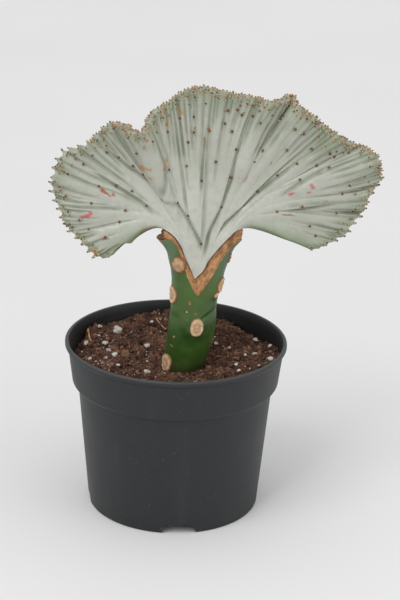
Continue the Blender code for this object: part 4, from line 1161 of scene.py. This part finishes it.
class Fan:
    """The crest's grid with everything that is placed on it."""

    def __init__(self):
        t = np.linspace(0, 1, CREST_ROWS)
        self.rows = 1 - (1 - t) ** 1.35
        spread = np.linspace(0, 1, CREST_COLUMNS)
        self.columns = spread - 0.004 * np.sin(math.tau * spread)
        self.sheet = crest_sheet(self.columns, self.rows)
        along = np.gradient(self.sheet, axis=0)
        normals = np.cross(along, np.gradient(self.sheet, axis=1))
        normals /= np.linalg.norm(normals, axis=2)[:, :, None] + 1e-12
        normals *= np.where(normals[:, :, 1:2] > 0, -1, 1)
        normals = blur_along(normals, 5)
        settle = blend_step(0.10, 0.45, self.rows)[None, :, None]
        normals = settle * normals + (1 - settle) * np.array([0.0, -1.0, 0.0])
        self.normals = normals / np.linalg.norm(normals, axis=2)[:, :, None]
        self.from_left, self.from_right, self.from_edge = run_lengths(self.sheet)
        self.half = half_thickness(self.rows, self.from_left, self.from_right, self.from_edge)
        self.scale = blur_along(np.linalg.norm(along, axis=2) / np.gradient(self.columns)[:, None], 4)

    def groove(self, path, depth, width, lean, fade):
        """Depth of one groove over the grid: path is (share along, share out) from inside out."""
        path = np.array(path)
        middle = np.interp(self.rows, path[:, 1], path[:, 0])
        ramp = blend_step(path[0, 1], path[0, 1] + fade, self.rows)
        if path[-1, 1] < 0.98:
            ramp = ramp * blend_step(path[-1, 1] + 0.10, path[-1, 1] - 0.05, self.rows)
        gap = (self.columns[:, None] - middle[None, :]) * self.scale
        wide = np.where(gap > 0, width * (1 + lean), width * (1 - lean))
        wide = wide * (1 + 1.1 * (1 - self.rows)[None, :])
        return depth * ramp[None, :] * hump(gap, 0, wide)

    def relief(self, areoles, folds, seed):
        """Depth of the grooves between the ribs of one face."""
        dice = np.random.default_rng(seed)
        taken, total = [], np.zeros(self.half.shape)

        def cut(*shape):
            np.maximum(total, self.groove(*shape), out=total)

        for fold in folds:
            cut(fold, FOLD_DEPTH, FOLD_WIDTH, dice.uniform(-0.5, 0.5), 0.10)
        for column, row in areoles:
            side = dice.choice([-1, 1])
            start = column + side * 0.0018
            path = [(start, max(row - 0.05, 0.08)), (start + dice.normal(0, 0.002), 1.0)]
            taken.append(start)
            cut(path, dice.uniform(0.0010, 0.0016), RIB_WIDTH, 0.45 * side, 0.14)
            path = [(start, max(row - 0.17, 0.12)), (start, row)]
            cut(path, dice.uniform(0.0005, 0.0011), LINE_WIDTH, 0.0, 0.12)
        for k in range(int(1 / RIB_SPACING)):
            column = (k + 0.5 + dice.uniform(-0.28, 0.28)) * RIB_SPACING
            if min(abs(column - other) for other in taken) < 0.45 * RIB_SPACING:
                continue
            row = dice.choice([0.64, 0.75, 0.84, 0.91], p=[0.15, 0.25, 0.3, 0.3])
            row += dice.uniform(-0.04, 0.04)
            path = [(column, row), (column + dice.normal(0, 0.0015), 1.0)]
            cut(path, dice.uniform(0.0008, 0.0014), RIB_WIDTH, dice.uniform(-0.5, 0.5), 0.12)
        return total

    def at(self, column, row, face):
        """Place, normal and way outwards on a face (1 in front, -1 behind)."""
        i = int(np.argmin(np.abs(self.columns - column)))
        j = int(np.argmin(np.abs(self.rows - row)))
        surface = self.front if face > 0 else self.back
        return surface[i, j], self.normals[i, j] * face, self.outward[i, j]


def back_areoles():
    """Places of the areoles on the hidden face."""
    dice = np.random.default_rng(5)
    found = []
    for k in range(BACK_AREOLES):
        found.append(((k + 0.5 + dice.uniform(-0.3, 0.3)) / BACK_AREOLES * 0.92 + 0.04,
                      dice.choice([0.38, 0.52, 0.64, 0.75, 0.85]) + dice.uniform(-0.05, 0.05)))
    return found


# Marks on the front: kind, x, height, half length, half width and slope in degrees
STAINS = (
    ("pink", -0.0614, 0.2149, 0.0037, 0.0013, 25), ("rust", -0.0505, 0.2317, 0.0037, 0.0010, -38),
    ("rust", -0.0445, 0.2294, 0.0017, 0.0010, -35), ("tan", -0.0225, 0.2499, 0.0058, 0.0009, -2),
    ("tan", -0.0254, 0.2482, 0.0032, 0.0010, -42), ("tan", -0.0196, 0.2431, 0.0015, 0.0009, -40),
    ("tan", -0.0092, 0.2545, 0.0016, 0.0009, 80), ("tan", -0.0099, 0.2501, 0.0014, 0.0011, 10),
    ("tan", -0.0092, 0.2784, 0.0027, 0.0010, 75), ("tan", -0.0006, 0.2860, 0.0028, 0.0012, -60),
    ("rust", -0.0222, 0.2705, 0.0010, 0.0008, 30), ("rust", 0.0091, 0.2754, 0.0010, 0.0008, 40),
    ("rust", 0.0188, 0.2765, 0.0011, 0.0009, 0), ("rust", 0.0158, 0.2685, 0.0024, 0.0006, -63),
    ("pink", 0.0311, 0.2198, 0.0006, 0.0005, 0), ("tan", -0.0575, 0.1880, 0.0050, 0.0016, 20),
    ("pink", 0.0758, 0.2345, 0.0027, 0.0011, 30), ("pink", 0.0887, 0.2399, 0.0022, 0.0009, -50),
    ("pink", 0.0872, 0.2354, 0.0012, 0.0006, 0), ("rust", 0.0446, 0.2435, 0.0020, 0.0005, 70),
    ("rust", 0.0604, 0.2550, 0.0018, 0.0005, 60), ("brown", 0.0742, 0.2190, 0.0048, 0.0005, -4),
    ("tan", 0.0991, 0.2295, 0.0012, 0.0007, 0), ("brown", -0.0490, 0.1985, 0.0022, 0.0005, 18),
)


def make_crest(surface):
    """The crested scion with its ribs, folds and stains."""
    fan = Fan()
    columns, rows = fan.columns[:, None], fan.rows[None, :]
    rear = back_areoles()
    rear_folds = [[(1 - u, v) for u, v in fold] for fold in FOLDS]
    cuts = {1: fan.relief(AREOLES, FOLDS, 3), -1: fan.relief(rear, rear_folds, 4)}
    wave = 0.0011 * np.sin(math.tau * columns * WAVE_COUNT + 2 * lumps(fan.sheet, 0.03, 71))
    wave *= blend_step(0.70, 1.0, rows)
    wave += 0.0016 * lumps(fan.sheet, 0.022, 72) * blend_step(0.25, 0.8, rows)
    ends = blend_step(0.0, 0.03, columns) * blend_step(1.0, 0.97, columns)
    wave = wave * ends
    on_top = blend_step(0.24, 0.31, columns) * blend_step(0.86, 0.78, columns)
    teeth = np.abs(np.sin(math.pi * TEETH * columns)) ** 0.7 * (2.1 - 1.3 * on_top) * ends
    fan.sheet += fan.normals * wave[:, :, None]
    outward = np.gradient(fan.sheet, axis=1)
    outward /= np.linalg.norm(outward, axis=2)[:, :, None] + 1e-12
    fan.outward = outward
    fan.sheet -= outward * (0.0011 * teeth * np.exp(-fan.from_edge / 0.004))[:, :, None]
    faces = {}
    for face, cut in cuts.items():
        thin = np.clip(fan.half / 0.0025, 0, 1)
        swell = 0.00035 * lumps(fan.sheet, 0.010, 73 + face) + 0.00012 * lumps(fan.sheet, 0.003, 75 + face)
        swell += 0.0009 * blend_step(0.15, 0.5, rows) * lumps(fan.sheet * [1, 0, 1], 0.017, 77 + face)
        height = fan.half + (swell - cut) * thin
        faces[face] = fan.sheet + face * fan.normals * np.maximum(height, 0.25 * fan.half)[:, :, None]
    fan.front, fan.back = faces[1], faces[-1]
    seam = np.zeros(fan.half.shape, bool)
    seam[0], seam[-1], seam[:, -1] = True, True, True
    for face in faces.values():
        face[seam] = fan.sheet[seam]
    skin = Skin()
    count = CREST_COLUMNS * CREST_ROWS
    for face, sign in ((fan.front, 1), (fan.back, -1)):
        # painted shade for the grooves: darker where they are cut deepest
        groove = np.clip(cuts[sign] / 0.0016, 0, 1) ** 1.6
        lower = np.exp(-np.minimum(fan.from_left, fan.from_right) / 0.0052) * blend_step(0.02, 0.10, rows)
        green = 0.35 * blend_step(0.80, 1.0, rows) * (0.6 + 0.4 * lumps(face, 0.006, 79))
        green += np.clip(lower * 1.1, 0, 1)
        green = np.maximum(green, 0.25 * (cuts[sign] / 0.002) * blend_step(0.6, 1.0, rows))
        # painted shade: darker towards the right side of the fan and towards its outer edge
        out = (0.42 + 0.55 * columns) * blend_step(0.2, 1.0, rows) * (0.85 + 0.3 * lumps(face, 0.02, 83))
        broken = 0.8 + 0.5 * lumps(face, 0.007, 84)
        tints = {"groove": groove * broken, "green": green, "out": out}
        cork = np.exp(-fan.from_left / 0.0022) * blend_step(0.34, 0.24, rows)
        cork = cork + np.exp(-fan.from_right / 0.0016) * blend_step(0.16, 0.06, rows)
        cork = cork + blend_step(0.035, 0.0, rows) * blend_step(-0.0085, -0.0095, face[:, :, 0])
        tints["brown"] = cork * (1.4 + 0.5 * lumps(face, 0.003, 85))
        tints = {name: np.clip(tint, 0, 1) for name, tint in tints.items()}
        for name in ("pink", "rust", "tan"):
            tints[name] = np.zeros(fan.half.shape)
        if sign > 0:
            ragged = 1 + 0.5 * lumps(face, 0.0016, 81)
            for name, x, z, length, width, slope in STAINS:
                dx, dz, slope = face[:, :, 0] - x, face[:, :, 2] - z, math.radians(slope)
                du = (dx * math.cos(slope) + dz * math.sin(slope)) / length
                dv = (dz * math.cos(slope) - dx * math.sin(slope)) / width
                spot = blend_step(1.25, 0.75, np.hypot(du, dv) * ragged)
                tints[name] = np.maximum(tints[name], 0.9 * spot)
        skin.add(face, [grid_faces(CREST_COLUMNS, CREST_ROWS, flip=sign < 0)], **tints)
    foot = np.arange(CREST_COLUMNS - 1) * CREST_ROWS
    strip = np.stack([foot, count + foot, count + foot + CREST_ROWS, foot + CREST_ROWS], axis=1)
    skin.faces.append(strip)
    skin.piece("crest_fan", surface, "crest", "scion_crest")
    return fan


# Rings of a nub: share of its height, width in its radii and how much they belong to the cap
NUB = ((0.0, 1.30, 0), (0.20, 1.04, 0), (0.42, 0.84, 0.2), (0.60, 0.76, 1), (0.80, 0.70, 1),
       (0.94, 0.46, 1), (1.0, 0.0, 1))


def nub(skin, place, direction, radius, length, hook, dark, sides=6):
    """One areole: a tapering nub with a brown cap."""
    z = direction / np.linalg.norm(direction)
    x = np.cross(z, [0.31, 0.2, 0.93])
    x /= np.linalg.norm(x)
    y = np.cross(z, x)
    turns = np.arange(sides) * math.tau / sides
    round_ = np.cos(turns)[:, None] * x + np.sin(turns)[:, None] * y
    rings = [place + z * height * length + hook * height**2 + radius * max(wide, 0.02) * round_
             for height, wide, _ in NUB]
    top = (len(NUB) - 1) * sides + np.arange(sides)
    tips = np.repeat([float(tip) for _, _, tip in NUB], sides)
    skin.add(np.array(rings), [grid_faces(len(NUB), sides, closed=True), top[None]], tip=tips, dark=dark)


def spine_pair(skin, place, direction, along, length):
    """Two short brown spines that part at an areole."""
    for side in (-1, 1):
        heading = direction + side * 0.75 * along
        heading /= np.linalg.norm(heading)
        across = np.cross(heading, along)
        across /= np.linalg.norm(across) + 1e-9
        up = np.cross(across, heading)
        turns = np.arange(5) * math.tau / 5
        ring = 0.00022 * (np.cos(turns)[:, None] * across + np.sin(turns)[:, None] * up)
        rings = [place + heading * length * h + w * ring for h, w in ((0, 1), (0.5, 0.7), (1, 0.12))]
        end = np.arange(10, 15)[None]
        skin.add(np.array(rings), [grid_faces(3, 5, closed=True), end], tip=1.0, dark=0.9)


def make_areoles(surface, fan):
    """The areoles on the crest's two faces."""
    skin = Skin()
    dice = np.random.default_rng(17)
    for face, table in ((1, AREOLES), (-1, back_areoles())):
        for column, row in table:
            place, normal, outward = fan.at(column, row, face)
            along = np.cross(normal, outward)
            radius = dice.uniform(0.00095, 0.00130)
            length = dice.uniform(0.0017, 0.0025)
            direction = normal * 0.9 + outward * 0.55
            start = place - normal * 0.0005
            nub(skin, start, direction, radius, length, outward * 0.0004, dice.uniform(0.75, 1.0), 9)
            tip = start + direction / np.linalg.norm(direction) * length * 0.9
            spine_pair(skin, tip, normal + 0.4 * outward, along, dice.uniform(0.0007, 0.0012))
        for number in range(YOUNG_AREOLES):
            column = 0.06 + 0.88 * (number + dice.uniform()) / YOUNG_AREOLES
            row = 0.87 + 0.09 * dice.uniform()
            place, normal, outward = fan.at(column, row, face)
            nub(skin, place - normal * 0.0004, normal * 0.6 + outward * 0.8, dice.uniform(0.0007, 0.0010),
                dice.uniform(0.0014, 0.0021), outward * 0.0003, dice.uniform(0.2, 1.0))
    skin.piece("crest_areoles", surface, "crest")


def make_margin(surface, fan):
    """The crowded growing edge: teeth at the sides and rows of young areoles on top."""
    skin = Skin()
    dice = np.random.default_rng(23)
    edge = fan.sheet[:, -1]
    steps = np.concatenate([[0], np.cumsum(np.linalg.norm(np.diff(edge, axis=0), axis=1))])
    length = steps[-1]
    rows = ((1, 0.0, 0.0026, 1.00), (1, 0.0013, 0.0025, 0.90), (-1, 0.0013, 0.0025, 0.90),
            (1, 0.0030, 0.0030, 0.85), (-1, 0.0030, 0.0030, 0.85), (1, 0.0050, 0.0042, 0.85))
    for face, inset, gap, size in rows:
        position = dice.uniform(0, gap)
        while position < length:
            i = int(np.clip(np.searchsorted(steps, position), 1, CREST_COLUMNS - 2))
            column = fan.columns[i]
            top = blend_step(0.24, 0.31, column) * blend_step(0.86, 0.78, column)
            j = int(np.argmin(np.abs(fan.from_edge[i] - inset * dice.uniform(0.6, 1.4))))
            surface_grid = fan.front if face > 0 else fan.back
            place, normal, outward = surface_grid[i, j], fan.normals[i, j] * face, fan.outward[i, j]
            tangent = (edge[i + 1] - edge[i - 1]) / np.linalg.norm(edge[i + 1] - edge[i - 1])
            share = 0.25 if inset == 0 else 0.75
            direction = outward + normal * share * dice.uniform(0.5, 1.3)
            direction = direction + tangent * dice.uniform(-0.35, 0.35)
            if inset > 0 and dice.uniform() > 0.35 + 0.6 * top:
                position += gap * dice.uniform(0.8, 1.2)
                continue
            tall = dice.uniform(0.0011, 0.0020) * size
            wide = dice.uniform(0.00066, 0.00092)
            step = gap * dice.uniform(0.75, 1.25)
            if inset == 0 and top < 0.5:
                tall, wide = dice.uniform(0.0016, 0.0026), dice.uniform(0.0008, 0.0011)
                tooth = abs(column * TEETH - round(column * TEETH))
                if tooth > 0.09 or column < 0.02 or column > 0.985:
                    position += 0.0008
                    continue
                step = 0.0028
            dark = dice.uniform(0.0, 0.35) if dice.uniform() < 0.35 + 0.4 * top else dice.uniform(0.6, 1.0)
            nub(skin, place - outward * 0.0005, direction, wide, tall, outward * 0.0002, dark)
            position += step
    skin.piece("crest_margin", surface, "crest")


# ---------------------------------------------------------------- scene

def make_floor():
    skin = Skin()
    ticks = np.linspace(-FLOOR_HALF, FLOOR_HALF, 9)
    x, y = np.meshgrid(ticks, ticks + 1.0)
    points = np.stack([x, y, np.zeros_like(x)], axis=2)
    mesh = bpy.data.meshes.new("floor")
    mesh.from_pydata(points.reshape(-1, 3).tolist(), [], grid_faces(9, 9).tolist())
    mesh.materials.append(floor_material())
    placed("floor", mesh)


def area_light(name, place, target, size, power, colour):
    data = bpy.data.lights.new(name, "AREA")
    data.shape = "DISK"
    data.size, data.energy, data.color = size, power, colour
    lamp = placed(name, data)
    lamp.location = place
    lamp.rotation_euler = (Vector(target) - Vector(place)).to_track_quat("-Z", "Y").to_euler()


def make_studio():
    scene = bpy.context.scene
    scene.view_settings.view_transform = "Standard"
    world = bpy.data.worlds.new("studio")
    world.use_nodes = True
    sky = world.node_tree.nodes["Background"].inputs
    sky["Color"].default_value, sky["Strength"].default_value = (0.985, 0.992, 1.0, 1), SKY_STRENGTH
    scene.world = world
    sun = bpy.data.lights.new("key", "SUN")
    sun.energy, sun.angle, sun.color = SUN_STRENGTH, math.radians(SUN_SPREAD), (1.0, 0.99, 0.975)
    placed("key", sun).rotation_euler = Vector(SUN_HEADING).to_track_quat("-Z", "Y").to_euler()
    area_light("fill", (1.4, -0.8, 0.7), (0, 0, 0.08), 1.4, 5.0, (0.98, 0.99, 1.0))
    area_light("softbox", (-0.55, -1.15, 0.75), (0, 0, 0.2), 0.30, 2.2, (1.0, 0.99, 0.98))


def make_camera():
    data = bpy.data.cameras.new("camera")
    data.lens, data.sensor_width = CAMERA_LENS, CAMERA_SENSOR
    data.clip_start, data.clip_end = 0.05, 20.0
    camera = placed("camera", data)
    pitch, roll = math.radians(CAMERA_PITCH), math.radians(CAMERA_ROLL)
    place = Vector(CAMERA_TARGET) + CAMERA_DISTANCE * Vector((0, -math.cos(pitch), math.sin(pitch)))
    upright = Matrix.Rotation(math.pi / 2 - pitch, 4, "X")
    camera.matrix_world = Matrix.Translation(place) @ upright @ Matrix.Rotation(roll, 4, "Z")
    bpy.context.scene.camera = camera


def main():
    make_studio()
    make_camera()
    make_floor()
    make_pot(plastic_material())
    peat = soil_material("peaty_mix", (0.036, 0.017, 0.011), (0.120, 0.058, 0.037))
    bed = make_soil(peat)
    rings, columns = bed.shape[:2]
    faces = grid_faces(rings, columns, closed=True).tolist()
    tree = BVHTree.FromPolygons(bed.reshape(-1, 3).tolist(), faces)

    def ground(x, y):
        hit = tree.ray_cast(Vector((x, y, 0.2)), Vector((0, 0, -1)))[0]
        return SOIL_LEVEL if hit is None else hit.z

    make_crumbs(peat, ground)
    make_perlite(perlite_material(), ground)
    make_bark(bark_material())
    make_straws(straw_material())
    turns, tops = make_stem(stem_material())
    callus = (0.520, 0.290, 0.130), (0.330, 0.150, 0.060), (0.075, 0.026, 0.012)
    make_callus(cork_material("callus_cork", *callus), turns, tops)
    scars = (0.760, 0.600, 0.390), (0.590, 0.400, 0.220), (0.240, 0.095, 0.038)
    make_scars(cork_material("scar_cork", *scars))
    fan = make_crest(crest_material())
    spines = spine_material()
    make_areoles(spines, fan)
    make_margin(spines, fan)


main()
